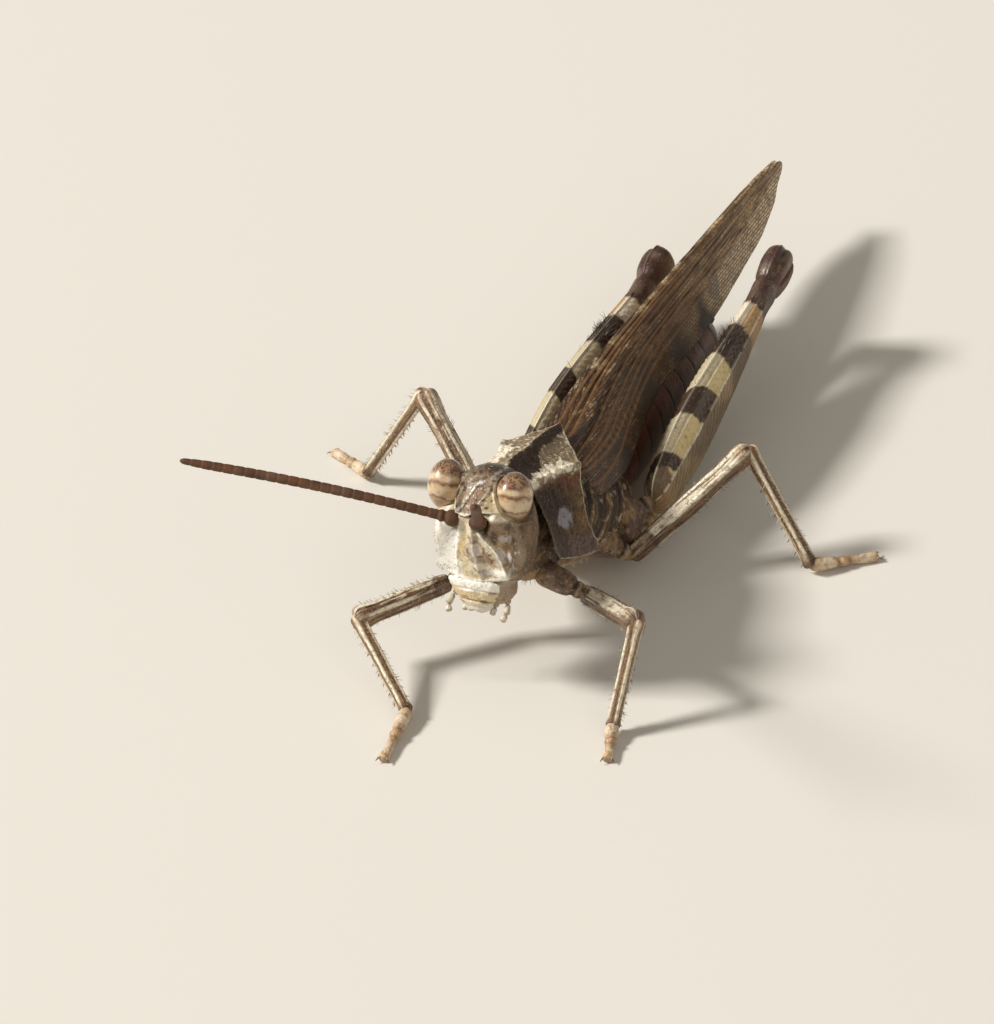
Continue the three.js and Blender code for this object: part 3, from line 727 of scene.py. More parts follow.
def markEye(points, t, angle):
    blot = clouds(points, 0.45, 4)
    swirl = clouds(points * (1, 1, 1.5), 0.26, 14)
    height = np.cos(np.pi * t)
    waves = height + blot * 0.4
    cap = softStep(0.4, 0.55, waves)
    return {
        "eyePale": between(0.2, 0.42, waves, 0.06) * 0.9 + between(-0.4, -0.05, waves, 0.08) * 0.55,
        "eyeStripe": between(0.02, 0.15, waves + swirl * 0.25, 0.05)
        * limit(0.7 + swirl * 4) + softStep(0.08, 0.18, swirl) * 0.3 * (height < 0.4)
        + softStep(-0.46, -0.56, waves) * 0.4,
        "eyeCap": cap * limit(0.5 + softStep(-0.06, 0.04, swirl) * 0.5),
        "eyeLine": between(-0.5, -0.43, waves, 0.025) * 0.85
        + cap
        * (0.85 * softStep(0.35, 0.8, np.sin(swirl * 42)) + 0.4 * softStep(0.75, 0.95, height))
        + between(0.05, 0.1, waves + swirl * 0.3, 0.02) * 0.5,
    }


for name, side in sides.items():
    eye = closedForm(f"eye_{name}_cornea", 72, 48, placeEye(side), headFrame, markEye)
    hand(eye, eyeCornea, "eye", f"eye_{name}")
print("head made")

# mouth parts

lipShape = {
    "top": -1.62,
    "low": -3.02,
    "half": [(0, 1.02), (0.3, 0.98), (0.5, 0.84), (0.75, 0.62), (1, 0.42)],
    "front": -2.4,
    "recede": 0.3,
    "thick": 0.2,
    "creases": [(0.34, 0.05), (0.64, 0.07), (0.8, 0.02)],  # cross folds: place and depth
}


def placeLip(t, angle):
    z = mix(lipShape["top"], lipShape["low"], t)
    end = roundEnds(t, 0.16)
    half = curveThrough(lipShape["half"])(t)
    x = half * np.cos(angle) * end
    y = lipShape["front"] + lipShape["recede"] * t + lipShape["thick"] * end * np.sin(angle)
    for crease, deep in lipShape["creases"]:
        y += deep * hump(t + 0.05 * np.cos(2 * x), crease, 0.028)
    y += 0.15 * (x / half) ** 2
    z = z + 0.12 * hump(x, 0, 0.14) * softStep(0.8, 1, t)  # the notch in the lip's edge
    points = np.stack([x, y, z], 1)
    points[:, 1] += clouds(points, 0.22, 2) * 0.08
    return points


def markLip(points, t, angle):
    blot = clouds(points, 0.35, 8)
    spot = clouds(points * (0.6, 1, 1.6), 0.2, 18)
    way = t + blot * 0.12
    bent = t + 0.05 * np.cos(2 * points[:, 0])
    creases = sum(hump(bent, crease, 0.03) for crease, deep in lipShape["creases"])
    return {
        "faceGrey": softStep(0.66, 0.74, way) * 0.5,
        "faceYellow": between(0.34, 0.66, way, 0.05) * 0.6,
        "faceBrown": creases * 0.35
        + softStep(0.05, 0.18, spot) * between(0.25, 0.7, way, 0.05) * 0.6,
        "faceDark": softStep(0.94, 0.99, t) * 0.3 + softStep(0.16, 0.24, spot) * 0.3,
        "faceWhite": between(0.0, 0.32, way, 0.05) * 0.9 + between(0.72, 0.92, way, 0.04) * 0.4,
    }


lip = closedForm("labrumPlate", 96, 64, placeLip, headFrame, markLip)
hand(lip, faceCuticle, "cuticle", "labrum")

jawShape = {
    "centre": (0.56, -1.45, -2.16),
    "radii": (0.56, 0.66, 0.62),
    "palp": [(0.8, -1.55, -2.3), (1.08, -1.8, -2.62), (1.16, -2.08, -2.9), (1.04, -2.2, -3.12)],
    "palpHalf": [0.13, 0.12, 0.12],
    "innerPalp": [(0.45, -1.5, -2.5), (0.6, -1.85, -2.8), (0.52, -2.0, -3.05)],
    "innerHalf": [0.12, 0.11],
}


def placeJaw(side):
    def place(t, angle):
        centre = np.array(jawShape["centre"]) * (side, 1, 1)
        points = ballPoints(t, angle) * jawShape["radii"] + centre
        points[:, 1] += 0.06 * hump(points[:, 2], -2.45, 0.06)
        return points + clouds(points, 0.3, 6)[:, None] * 0.04

    return place


def markJaw(points, t, angle):
    blot = clouds(points, 0.3, 12)
    blank = np.zeros_like(t)
    return {
        "crownGrey": blank + 0.35,
        "cheekPlum": np.full_like(t, 0.6) + blot * 0.4,
        "cheekOlive": softStep(0.05, 0.25, blot) * 0.3,
        "faceYellow": blank,
        "faceBrown": softStep(0.72, 0.85, t) * 0.6,
        "faceDark": softStep(0.85, 0.95, t),
        "faceWhite": between(0.3, 0.4, t, 0.04) * 0.4,
    }


def limbAxes(start, end):
    ahead = unit(end - start)
    high = unit(np.array([0, 0, 1]) - ahead * ahead[2])
    return ahead, high, np.cross(ahead, high)


def limbPoints(t, angle, start, end, wide, deep, reach=0.05, bow=0.0):
    start, end = np.asarray(start, float), np.asarray(end, float)
    _, high, side = limbAxes(start, end)
    close = roundEnds(t, reach)
    lift = deep * close * np.sin(angle) + bow * np.sin(np.pi * t)
    shift = wide * close * np.cos(angle)
    return start + t[:, None] * (end - start) + lift[:, None] * high + shift[:, None] * side


def joined(name, pieces):  # several finished meshes as one piece
    bm = bmesh.new()
    for piece in pieces:
        bm.from_mesh(piece.data)
    layers = [layer for piece in pieces for layer in piece.data.attributes]
    values = {}
    for mark in sorted({layer.name for layer in layers if layer.data_type == "FLOAT"}):
        parts = []
        for piece in pieces:
            found = np.zeros(len(piece.data.vertices), np.float32)
            if mark in piece.data.attributes:
                piece.data.attributes[mark].data.foreach_get("value", found)
            parts.append(found)
        values[mark] = np.concatenate(parts)
    for layer in list(bm.verts.layers.float.values()):
        bm.verts.layers.float.remove(layer)
    whole = toObject(name, bm, values)
    for piece in pieces:
        bpy.data.objects.remove(piece)
    return whole


def markPalp(points, t, angle):
    return {
        "faceBrown": (hump(t, 0.9, 0.06) + hump(t, 0.04, 0.05)) * 0.5,
        "cheekPlum": np.full_like(t, 0.25),
        "faceWhite": hump(t, 0.5, 0.2) * 0.4,
    }


def palpPieces(name, joints, halves, side):
    made = []
    mirror = np.array([side, 1, 1])
    for number, half in enumerate(halves):
        start, end = np.array(joints[number]) * mirror, np.array(joints[number + 1]) * mirror

        def place(t, angle):
            girth = half * (0.8 + 0.25 * softStep(0, 1, t))
            return limbPoints(t, angle, start, end, girth, girth, reach=0.3)

        made.append(closedForm(f"{name}{number}", 20, 20, place, headFrame, markPalp))
    return made


mouth = []
for name, side in sides.items():
    mouth.append(closedForm(f"mandible_{name}", 56, 44, placeJaw(side), headFrame, markJaw))
    mouth += palpPieces(f"palp_{name}", jawShape["palp"], jawShape["palpHalf"], side)
    mouth += palpPieces(f"innerPalp_{name}", jawShape["innerPalp"], jawShape["innerHalf"], side)
hand(joined("mandiblesAndPalps", mouth), faceCuticle, "cuticle", "jaws")
print("mouth made")

# where each limb runs, from the solids


def solidEnds(node):
    points = np.array([vertex.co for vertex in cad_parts[node].data.vertices]) / mm
    middle = points.mean(0)
    axis = np.linalg.eigh(np.cov((points - middle).T))[1][:, 2]
    reach = (points - middle) @ axis
    return middle + axis * reach.min(), middle + axis * reach.max()


def solidMiddle(node):
    low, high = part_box(node)
    return np.array((low + high) / 2) / mm


def nearFirst(ends, point):
    return sorted(ends, key=lambda end: np.linalg.norm(end - point))


# feelers

feelerShape = {
    "rings": 26,
    "half": [
        (0, 0.27), (0.025, 0.3), (0.045, 0.27), (0.054, 0.19), (0.068, 0.225), (0.084, 0.18),
        (0.5, 0.18), (0.9, 0.16), (1, 0.1),
    ],
    "bow": 0.15,
    "sunk": 0.25,  # how deep it stands in its socket
}


def placeFeeler(start, end):
    def place(t, angle):
        girth = curveThrough(feelerShape["half"])(t)
        ring = (t * feelerShape["rings"]) % 1
        waist = 0.1 * softStep(0.06, 0.09, t) * (hump(ring, 0, 0.12) + hump(ring, 1, 0.12))
        girth = girth * (1 - waist)
        return limbPoints(t, angle, start, end, girth * 1.05, girth * 0.9, 0.02, feelerShape["bow"])

    return place


def markFeeler(points, t, angle):
    ring = (t * feelerShape["rings"]) % 1
    return {
        "hornPale": hump(ring, 0.02, 0.08) * 0.2 + softStep(0.5, 1.0, grain(points, 0.5, 3)) * 0.2,
        "hornDark": softStep(0.85, 1, t) * 0.2,
    }


for name in sides:
    start, end = nearFirst(solidEnds(f"antenna_{name}"), solidMiddle("head"))
    start = start - unit(end - start) * feelerShape["sunk"]
    feeler = closedForm(f"feeler_{name}", 28, 420, placeFeeler(start, end), floorFrame, markFeeler)
    hand(feeler, hornCuticle, "dark_horn", f"antenna_{name}")
print("feelers made")

# the shield (pronotum)

shieldShape = {
    "half": [(-5.1, 0.85), (-3.6, 1.0), (-2.75, 1.08), (-1.75, 1.36), (0, 1.42)],  # to the shoulder
    "top": [(-5.1, -0.6), (-4, -0.5), (-2.8, -0.48), (-1.6, -0.44), (-0.6, -0.36), (0, -0.26)],
    "roof": [(-5.1, 0.28), (-3.5, 0.3), (-1.75, 0.34), (0, 0.3)],  # its fall to the shoulder
    "lean": 0.18,  # the disc is set a little lower on the left
    "shoulder": 0.3,  # where the shoulder lies on the way from the keel to the lower edge
    "lobeHalf": [(-5.1, 1.48), (-3.4, 1.56), (-2.2, 1.55), (-1.3, 1.55)],
    "flare": 0.28,
    "foot": [(-5, -3.45), (-3.2, -3.85), (-1.4, -4.08)],
    "keel": [(-5, 0.18), (-4.3, 0.26), (-3.1, 0.22), (-2.6, 0.3), (-0.8, 0.26), (0, 0.06)],
    "keelHalf": 0.13,
    "grooves": [(-3.95, 0.5), (-3.35, 0.75), (-2.75, 1.0)],  # cross furrows: place and depth
    # the outline: 0 on the keel, 1 at the lower edge, and where along the body the sheet ends there
    "frontEdge": [
        (0, -5.12), (0.3, -5.0), (0.5, -5.0), (0.7, -4.97), (0.88, -4.92), (0.96, -4.8), (1, -4.6),
    ],
    "rearEdge": [
        (0, 0.0), (0.05, -0.3), (0.1, -0.59), (0.2, -1.16), (0.3, -1.72), (0.36, -1.85),
        (0.5, -1.92), (0.66, -1.97), (0.8, -1.75), (0.91, -1.4), (1, -1.35),
    ],
    "wall": 0.07,
}


def placeShield(u, v):
    across = 2 * v - 1  # -1 and 1 at the lower edges, 0 on the keel
    way = np.abs(across)
    y = mix(*profiles(shieldShape, way, "frontEdge", "rearEdge"), u)
    half, top, roof = profiles(shieldShape, y, "half", "top", "roof")
    lobeHalf, foot, keel = profiles(shieldShape, y, "lobeHalf", "foot", "keel")
    disc = limit(way / shieldShape["shoulder"])
    lobe = limit((way - shieldShape["shoulder"]) / (1 - shieldShape["shoulder"]))
    x = half * disc + (lobeHalf + shieldShape["flare"] * lobe - half) * (1 - (1 - lobe) ** 2.6)
    z = top - roof * disc**1.25 - shieldShape["lean"] * np.sign(across) * x * (1 - lobe)
    z += (foot - top + roof) * lobe
    furrowed = softStep(0.03, 0.1, way) * (1 - softStep(0.72, 0.85, way))
    cut, sunk = np.ones_like(y), np.zeros_like(y)
    for groove, depth in shieldShape["grooves"]:
        cut -= 0.8 * depth * hump(y, groove, 0.09)
        sunk += 0.1 * depth * hump(y, groove + 0.1 * np.sin(way * 6), 0.06) * furrowed
    z += keel * np.exp(-x / shieldShape["keelHalf"]) * limit(cut)
    points = np.stack([x * np.sign(across), y, z], 1)
    lift = 0.07 * hump(way, shieldShape["shoulder"], 0.02) * limit(cut + 0.3)
    lift *= 0.4 + 0.6 * softStep(-3.0, -2.5, y)
    lift += clouds(points, 0.3, 7) * 0.09 * softStep(0, 0.08, way)
    lift += (grain(points, 0.1, 3) - 0.5) * 0.03 - sunk
    lift += 0.02 * (hump(u, 0, 0.015) + hump(u, 1, 0.015) + hump(way, 1, 0.01))
    side = softStep(0.22, 0.42, way)
    outward = np.stack([side * np.sign(across), np.zeros_like(y), np.sqrt(1 - side**2)], 1)
    return points + outward * lift[:, None]


def markShield(points, u, v):
    across = 2 * v - 1
    way = np.abs(across)
    x, y, z = points.T
    blot = clouds(points, 0.5, 21)
    spot = clouds(points, 0.2, 23)
    fine = clouds(points, 0.1, 29)
    disc = 1 - softStep(0.3, 0.36, way + blot * 0.06)
    fore = 1 - softStep(-3.1, -2.8, y + blot * 0.4)
    # strip: a narrow band on the left slope beside the keel, painted dark as the keel's shadow over
    # the brown the slope has along the keel
    left = (across > 0) * 1.0
    keelShadowEnd = 0.035 + 0.2 * softStep(-2.3, -4.0, y)
    strip = between(-0.012, keelShadowEnd, across + spot * 0.03, 0.012)
    lobe = softStep(0.34, 0.42, way)
    return {
        "shieldPale": disc * (0.8 + blot - strip),
        "shieldOlive": lobe * limit(0.8 + blot * 0.8),
        "shieldTan": lobe * hump(y, -2.3 + 0.8 * hump(way, 0.35, 0.2), 0.45)
        * (1 - softStep(0.7, 0.85, way)) * limit(0.7 + 3 * spot),
        "shieldRed": limit(hump(way, 0.38, 0.06) * hump(y, -2.6, 0.9) * 0.9 + spot * 0.8)
        * (1 - disc),
        "shieldPlum": softStep(0.78, 0.86, way + blot * 0.12) * 0.85,
        # dark marks, and the strip beside the keel as painted shadow
        "shieldDark": strip * 0.97 + between(0.36, 0.62, way + spot * 0.1, 0.03) * fore * 0.55
        + hump(way, 0.58, 0.09) * hump(y, -3.7, 0.4) * 0.6
        + softStep(0.06, 0.16, fine) * 0.6 * (1 - 0.4 * disc)
        + lobe * softStep(0.08, 0.2, -spot) * 0.4
        + lobe * softStep(-3.3, -4.4, y + blot * 1.5) * 0.55
        + hump(y + 0.1 * np.sin(way * 6), -2.75, 0.05) * disc * 0.4,
        "shieldBlue": limit(3 - 2.4 * np.hypot((y + 3.7) / 0.52, (z + 2.38) / 0.32) + 3 * spot)
        * left * 0.9,
        "shieldWhite": between(0.21, 0.31, way + spot * 0.12, 0.015)
        * between(-4.2, -2.1, y + blot * 0.8, 0.12) * 1.2
        + disc * softStep(0.08, 0.18, fine + spot * 0.6) * 0.75 * (1 - strip)
        # the front of the disc's right half, on the lit side: pale cuticle painted white as painted
        # highlight
        + (1 - left) * disc * softStep(-4.4, -4.8, y + spot) * 0.8
        + softStep(0.988, 0.994, u + spot * 0.014)
        * (0.3 + 0.5 * hump(way, 0.38, 0.14) + 0.25 * hump(way, 0.9, 0.1))
        + softStep(0.99, 0.996, way + spot * 0.012) * 0.35
        + softStep(0.992, 0.997, 1 - u + spot * 0.012) * 0.1
        + between(0.26, 0.33, way, 0.015) * between(-5, -4.5, y, 0.06) * 0.8,
    }


wall = shieldShape["wall"]
shield = sheetForm("pronotumShield", 130, 340, placeShield, trunkFrame, wall, markShield)
hand(shield, shieldCuticle, "shield", "pronotum")
print("shield made")

# thorax under the shield and wings

thoraxShape = {
    "front": -4.85,
    "back": 3.05,
    "half": [
        (-4.85, 1.1), (-3.6, 1.2), (-2.3, 1.35), (-1.4, 1.6), (0.2, 1.84), (1.8, 1.86), (3, 1.5),
    ],
    "top": [(-4.85, -0.85), (-4.2, -0.8), (-2.2, -0.85), (-1, -1.15), (0.5, -1.4), (3, -1.6)],
    "low": [(-4.85, -4.2), (-4, -4.6), (-2, -4.75), (0, -4.85), (2, -4.75), (3, -4.45)],
    # seams: their place below, and their lean to the rear
    "seams": [(-3.3, 1.7), (-2.35, 1.9), (-1.35, 2.1), (-0.2, 2.2), (0.8, 2.2)],
    "seamHalf": 0.05,
}


def seamGap(y, z):  # the distance to the nearest seam, in front (negative) or behind
    nearest = np.full_like(y, 9.0)
    for foot, lean in thoraxShape["seams"]:
        gap = y - (foot + lean * (z + 4.5) / 3)
        nearest = np.where(np.abs(gap) < np.abs(nearest), gap, nearest)
    return nearest


def placeThorax(t, angle):
    y = mix(thoraxShape["front"], thoraxShape["back"], t)
    half, top, low = profiles(thoraxShape, y, "half", "top", "low")
    close = roundEnds(t, 0.12)
    height = rounded(np.sin(angle), 0.8)
    x = half * (1 - 0.4 * limit(height)) * rounded(np.cos(angle), 0.7) * close
    z = (top + low) / 2 + (top - low) / 2 * height * close
    points = np.stack([x, y, z], 1)
    gap = seamGap(y, z) + clouds(points, 0.5, 13) * 0.25
    lift = 0.07 * hump(gap, 0.16, 0.09) - 0.13 * hump(gap, 0, thoraxShape["seamHalf"])
    lift = (lift - 0.05 * hump(gap, -0.3, 0.14)) * between(-4.5, -1.6, z, 0.2)
    lift -= 0.08 * hump(z, -4.1 + 0.15 * np.sin(y * 2.2), 0.05) * (y > -3.4)
    lift += clouds(points, 0.4, 14) * 0.12
    outward = np.stack([np.cos(angle), np.zeros_like(t), np.sin(angle)], 1)
    return points + outward * (lift * close)[:, None]


def markThorax(points, t, angle):
    x, y, z = points.T
    blot = clouds(points, 0.6, 31)
    spot = clouds(points, 0.2, 33)
    gap = seamGap(y, z) + clouds(points, 0.5, 13) * 0.25
    # the low edge of the thorax: a tan ridge, painted paler as rim light
    lowEdgeAndRimLight = softStep(-4.05, -4.25, z + spot * 0.3)
    streak = clouds(points * (0.4, 1, 0.35) + z[:, None] * (0, -0.7, 0), 0.16, 35)
    return {
        "bodyTan": lowEdgeAndRimLight * (0.8 + blot) + softStep(0.05, 0.16, streak) * 0.5,
        "bodyPlum": hump(y, -3.2, 0.8) * hump(z, -4.2, 0.5) * 0.8 + softStep(0.1, 0.25, blot) * 0.4,
        "bodyRed": between(1.6, 3.2, y, 0.3) * (1 - lowEdgeAndRimLight) * 0.7,
        # dark seams and blots; the upper part, under the shield and wings, darker as painted shade
        "bodyDark": hump(gap, 0, thoraxShape["seamHalf"] * 1.4) * 0.9
        + hump(gap, -0.4, 0.25) * (1 - lowEdgeAndRimLight) * 0.8
        + softStep(0.05, 0.2, -blot) * 0.6 * (1 - lowEdgeAndRimLight * 0.6) + softStep(-2.8, -2.2, z) * 0.6,
        # pale specks; the ridge behind each seam is a pale edge with painted highlight
        "bodyPale": hump(gap, 0.17, 0.05) * softStep(-0.06, 0.08, spot)
        * between(-4.0, -2.2, z, 0.2) * 0.9 + softStep(0.17, 0.24, spot) * 0.5
        + lowEdgeAndRimLight * softStep(0.05, 0.15, streak) * 0.5,
    }


thorax = closedForm("thoraxSkin", 260, 230, placeThorax, trunkFrame, markThorax)
hand(thorax, bodyCuticle, "cuticle", "prothorax", "pterothorax")

# abdomen

bellyShape = {
    "length": 10.6,
    "rings": 9,
    "half": [(0, 1.05), (2, 1.12), (6, 1.03), (9, 0.85), (10.6, 0.62)],
    "deep": [(0, 1.35), (2, 1.42), (6, 1.18), (9, 0.88), (10.6, 0.66)],
    "overlap": 0.03,
}


def placeBelly(t, angle):
    y = bellyShape["length"] * t
    half, deep = profiles(bellyShape, y, "half", "deep")
    ring = (t * bellyShape["rings"]) % 1
    girth = bellyShape["overlap"] * (softStep(0, 0.15, ring) * (1 - ring) * 0.35 - 0.15)
    girth -= 0.02 * (1 - softStep(0, 0.08, ring))
    fold = hump(angle, -0.55, 0.12) + hump(np.abs(angle), math.pi - 0.55, 0.12) * (angle < 0)
    girth += 0.06 * hump(angle, math.pi / 2, 0.12) - 0.12 * fold
    close = np.minimum(roundEnd(t, 0.05), roundEnd(1 - t, 0.1))
    x = (half + girth) * np.cos(angle) * close
    z = (deep + girth) * np.sin(angle) * close
    points = np.stack([x, y, z], 1)
    points[:, 2] += clouds(points, 0.3, 16) * 0.04
    return points


def markBelly(points, t, angle):
    ring = (t * bellyShape["rings"]) % 1
    blot = clouds(points, 0.5, 41)
    under = softStep(0.5, 0.75, -np.sin(angle))
    return {
        "bellyPale": under * 0.7 + softStep(0.86, 0.97, ring) * 0.12,
        # dark rings and blots; the back and sides, under the wings, darker as painted shade
        "bellyDark": (1 - softStep(0.1, 0.7, ring + blot * 0.5)) * (1 - under) * 0.25
        + (1 - under) * 0.3 + softStep(0.1, 0.3, blot) * 0.3,
    }


def placeCercus(side):
    def place(t, angle):
        root, tip = (side * 0.32, 9.75, 0.32), (side * 0.42, 10.45, 0.42)
        girth = 0.13 * (1 - 0.75 * t)
        return limbPoints(t, angle, root, tip, girth, girth, reach=0.15)

    return place


def markCercus(points, t, angle):
    return {"bellyDark": 0.3 + 0.4 * t}


belly = [closedForm("abdomenRings", 140, 300, placeBelly, bellyFrame, markBelly)]
for side in sides.values():
    belly.append(closedForm(f"cercus{side}", 16, 24, placeCercus(side), bellyFrame, markCercus))
hand(joined("abdomenWithTail", belly), bellyCuticle, "belly", "abdomen")
print("body made")

# wings

wingShape = {
    "root": -1.3,
    "tip": 20.6,
    "tipHalf": 0.1,
    "tipDrop": 0.3,
    "endOpen": 0.04,  # the ends stay a narrow edge
    "film": 0.08,
    "paleSquares": (4.0, 5.6, 7.9, 9.0, 10.2, 11.3, 12.4),  # along the fold
    "lap": 0.07,  # the left wing's top lies this much over the right one's
    "corner": [(-1.3, 0.75), (1, 0.72), (3, 0.55), (6, 0.36), (12, 0.2), (20.4, 0.08)],
    "top": [(-1.3, -0.8), (0.5, -0.62), (3, -0.17), (6, 0.02), (12, -0.05), (20.4, -0.25)],
    "sideDeep": [
        (-1.3, 1.5), (1.5, 2.1), (3, 2.2), (5, 1.95), (7, 1.9), (9, 2.0), (13, 1.95), (17, 1.6),
        (20.4, 1.0),
    ],
    "foot": [(-1.3, 1.5), (1.5, 1.55), (3, 1.35), (6, 1.05), (11, 0.85), (16, 0.55), (20.4, 0.3)],
    # main veins: their place across the sheet, 0 at its inner edge and 1 at its lower one
    "veins": [
        [(0, 0.1), (12, 0.12), (20, 0.25)],
        [(0, 0.2), (10, 0.2), (20, 0.3)],
        [(0, 0.3), (12, 0.27), (20, 0.34)],
        [(0, 0.4), (8, 0.36), (20, 0.4)],
        [(0, 0.52), (8, 0.47), (20, 0.48)],
        [(0, 0.64), (8, 0.6), (20, 0.56)],
        [(-1, 0.68), (3, 0.72), (8, 0.67), (20, 0.6)],
        [(-1, 0.74), (3, 0.8), (8, 0.74), (20, 0.64)],
        [(0, 0.9), (8, 0.82), (20, 0.68)],
    ],
}


def wingFold(y, way, lap):  # place and outward direction on the folded sheet, left wing
    corner, top, deep, low = profiles(wingShape, y, "corner", "top", "sideDeep", "foot")
    inner = np.stack([-corner + 0.06, top + lap + 0.03], 1)
    edge = np.stack([corner, top + lap * 0.3], 1)
    foot = np.stack([low, top - deep], 1)
    pullIn, pullOut = mix(inner, edge, 0.97), mix(foot, edge, 0.9)
    w, rest = way[:, None], 1 - way[:, None]
    at = inner * rest**3 + 3 * pullIn * w * rest**2 + 3 * pullOut * w * w * rest + foot * w**3
    slope = (pullIn - inner) * rest**2 + 2 * (pullOut - pullIn) * w * rest
    slope = unit(slope + (foot - pullOut) * w * w)
    return at, np.stack([-slope[:, 1], slope[:, 0]], 1)


def veinLines(y, way):
    total = np.zeros_like(y)
    for keys in wingShape["veins"]:
        total = np.maximum(total, hump(way, curveThrough(keys)(y), 0.012))
    return total


def placeWing(side):
    def place(u, v):
        v = v if side > 0 else 1 - v
        y = mix(wingShape["root"], wingShape["tip"], u)
        close = np.minimum(roundEnd(u, 0.03), roundEnd(1 - u, 0.16))
        close = close * (1 - 0.25 * softStep(0.93, 0.97, u))
        close = np.maximum(close, wingShape["endOpen"])
        at, out = wingFold(y, v, wingShape["lap"] * side)
        top, deep = profiles(wingShape, y, "top", "sideDeep")
        soft = clouds(np.stack([at[:, 0], y * 0.5, at[:, 1]], 1), 0.7, 3)
        lift = 0.05 * (veinLines(y, v) + soft) * close
        x = mix(wingShape["tipHalf"], at[:, 0], close) + out[:, 0] * lift
        z = mix(top - deep * wingShape["tipDrop"], at[:, 1], close) + out[:, 1] * lift
        return np.stack([side * x, y, z], 1)

    return place


def markWing(side):
    def marks(points, u, v):
        v = v if side > 0 else 1 - v
        y = mix(wingShape["root"], wingShape["tip"], u)
        blot = clouds(points * (1, 0.45, 1), 0.7, 51)
        spot = clouds(points * (1, 0.5, 1), 0.28, 57)
        fine = clouds(points * (1, 0.6, 1), 0.12, 59)
        strip = 1 - softStep(0.24, 0.3, v)
        ticks = clouds(points * (1, 0.3, 1), 0.1, 58)
        fold = hump(v + spot * 0.03, 0.11, 0.06)
        bars = sum(hump(y, place, 0.3) for place in wingShape["paleSquares"])
        far = softStep(8.5, 13.5, y + blot * 3)
        near = 1 - softStep(9, 13, y)
        costal = between(-0.9, 4.4, y, 0.3)
        patch = hump(y, 9.6, 0.6) * hump(v, 0.72, 0.09) + hump(y, 12.6, 0.6) * hump(v, 0.84, 0.09)
        window = softStep(-0.5, 0.2, np.cos(2 * np.pi * (y + blot * 0.5) / 0.42))
        return {
            "wingTip": far * (1 - 0.6 * softStep(0.05, 0.2, spot)),
            "wingGrey": softStep(0.3, 0.5, patch + spot * 0.8) * 0.8
            + softStep(0.08, 0.2, ticks) * 0.6 * near,
            "wingCream": fold * softStep(0.2, 0.4, bars * 1.3 + spot * 1.5) * 1.3
            + strip * softStep(0.1, 0.2, spot) * 0.5
            + softStep(0.16, 0.24, fine) * 0.35 * (1 - softStep(0.5, 0.8, v)),
            "wingRed": hump(y, 0.9, 0.5) * hump(v, 0.6, 0.1) * 0.8
            + softStep(0.1, 0.25, -spot) * strip * 0.5,
            "wingDark": strip * (1 - softStep(0.2, 0.5, bars)) * 0.5 * (1 - softStep(12.5, 15, y))
            # the lower part near the root is painted shade; the three patches along the lower edge
            # are dark bands darkened further as painted shade
            + softStep(0.55, 0.75, v + blot * 0.3) * (1 - softStep(4, 6, y)) * 0.3
            + softStep(0.7, 0.8, v + blot * 0.3)
            * (hump(y, 5.5, 1.2) + hump(y, 8.6, 0.8) + hump(y, 11.2, 0.5)) * 0.9
            + softStep(0.04, 0.2, -blot) * 0.6 * (1 - softStep(13, 17, y))
            + far * softStep(0.06, 0.16, -spot) * 0.3
            + (hump(v, 0.4 + 0.035 * y, 0.01) + hump(v, 0.46 + 0.04 * y, 0.008))
            * (1 - softStep(4, 7, y)),
            "wingGreen": costal * between(-0.035, 0.035, v + spot * 0.03 - 0.71 - 0.035 * y, 0.012)
            * window * 0.85,
            "wingVein": veinLines(y, v) * 0.7
            + costal * between(-0.03, 0.03, v + spot * 0.02 - 0.71 - 0.035 * y, 0.01)
            * (1 - window) * 0.5,
        }

    return marks


def setWingPlace(piece):  # how far along and across the sheet a point lies, in millimetres
    mesh = piece.data
    points = np.empty(len(mesh.vertices) * 3)
    mesh.vertices.foreach_get("co", points)
    back = np.array(wingFrame.inverted())
    local = points.reshape(-1, 3) / mm @ back[:3, :3].T + back[:3, 3]
    layer = mesh.attributes.new("wingPlace", "FLOAT_VECTOR", "POINT")
    across = np.abs(local[:, 0]) - local[:, 2]
    sheet = np.stack([local[:, 1], across, np.zeros(len(local))], 1)
    layer.data.foreach_set("vector", sheet.ravel())


for name, side in sides.items():
    form, film, marks = placeWing(side), wingShape["film"], markWing(side)
    wing = sheetForm(f"forewing_{name}", 450, 105, form, wingFrame, film, marks)
    setWingPlace(wing)
    hand(wing, wingMembrane, "wing", f"tegmen_{name}")

fanShape = {
    "root": 0.2, "tip": 18.6, "deep": 1.0, "drop": 0.45, "pleats": 7, "half": 0.11, "out": 0.24,
}


def placeFan(side):
    def place(t, angle):
        y = mix(fanShape["root"], fanShape["tip"], t)
        end = np.minimum(roundEnd(t, 0.08), roundEnd(1 - t, 0.2))
        deep = fanShape["deep"] * (1 - 0.5 * t)
        pleat = 1 + 0.25 * np.cos(angle * fanShape["pleats"] * 2)
        x = fanShape["out"] * (1 - 0.6 * t) + fanShape["half"] * pleat * end * np.cos(angle)
        top = curveThrough(wingShape["top"])(y)
        z = top - fanShape["drop"] - deep / 2 + deep / 2 * end * pleat * rounded(np.sin(angle), 0.7)
        return np.stack([side * x, y, z], 1)

    return place


def markFan(points, t, angle):
    return {
        "wingTip": np.full_like(t, 0.9),
        "wingDark": 0.3 * grain(points, 0.5, 4),
    }


for name, side in sides.items():
    fan = closedForm(f"hindwingFan_{name}", 84, 160, placeFan(side), wingFrame, markFan)
    setWingPlace(fan)
    hand(fan, wingMembrane, "fan", f"hindwing_{name}")
print("wings made")

# legs

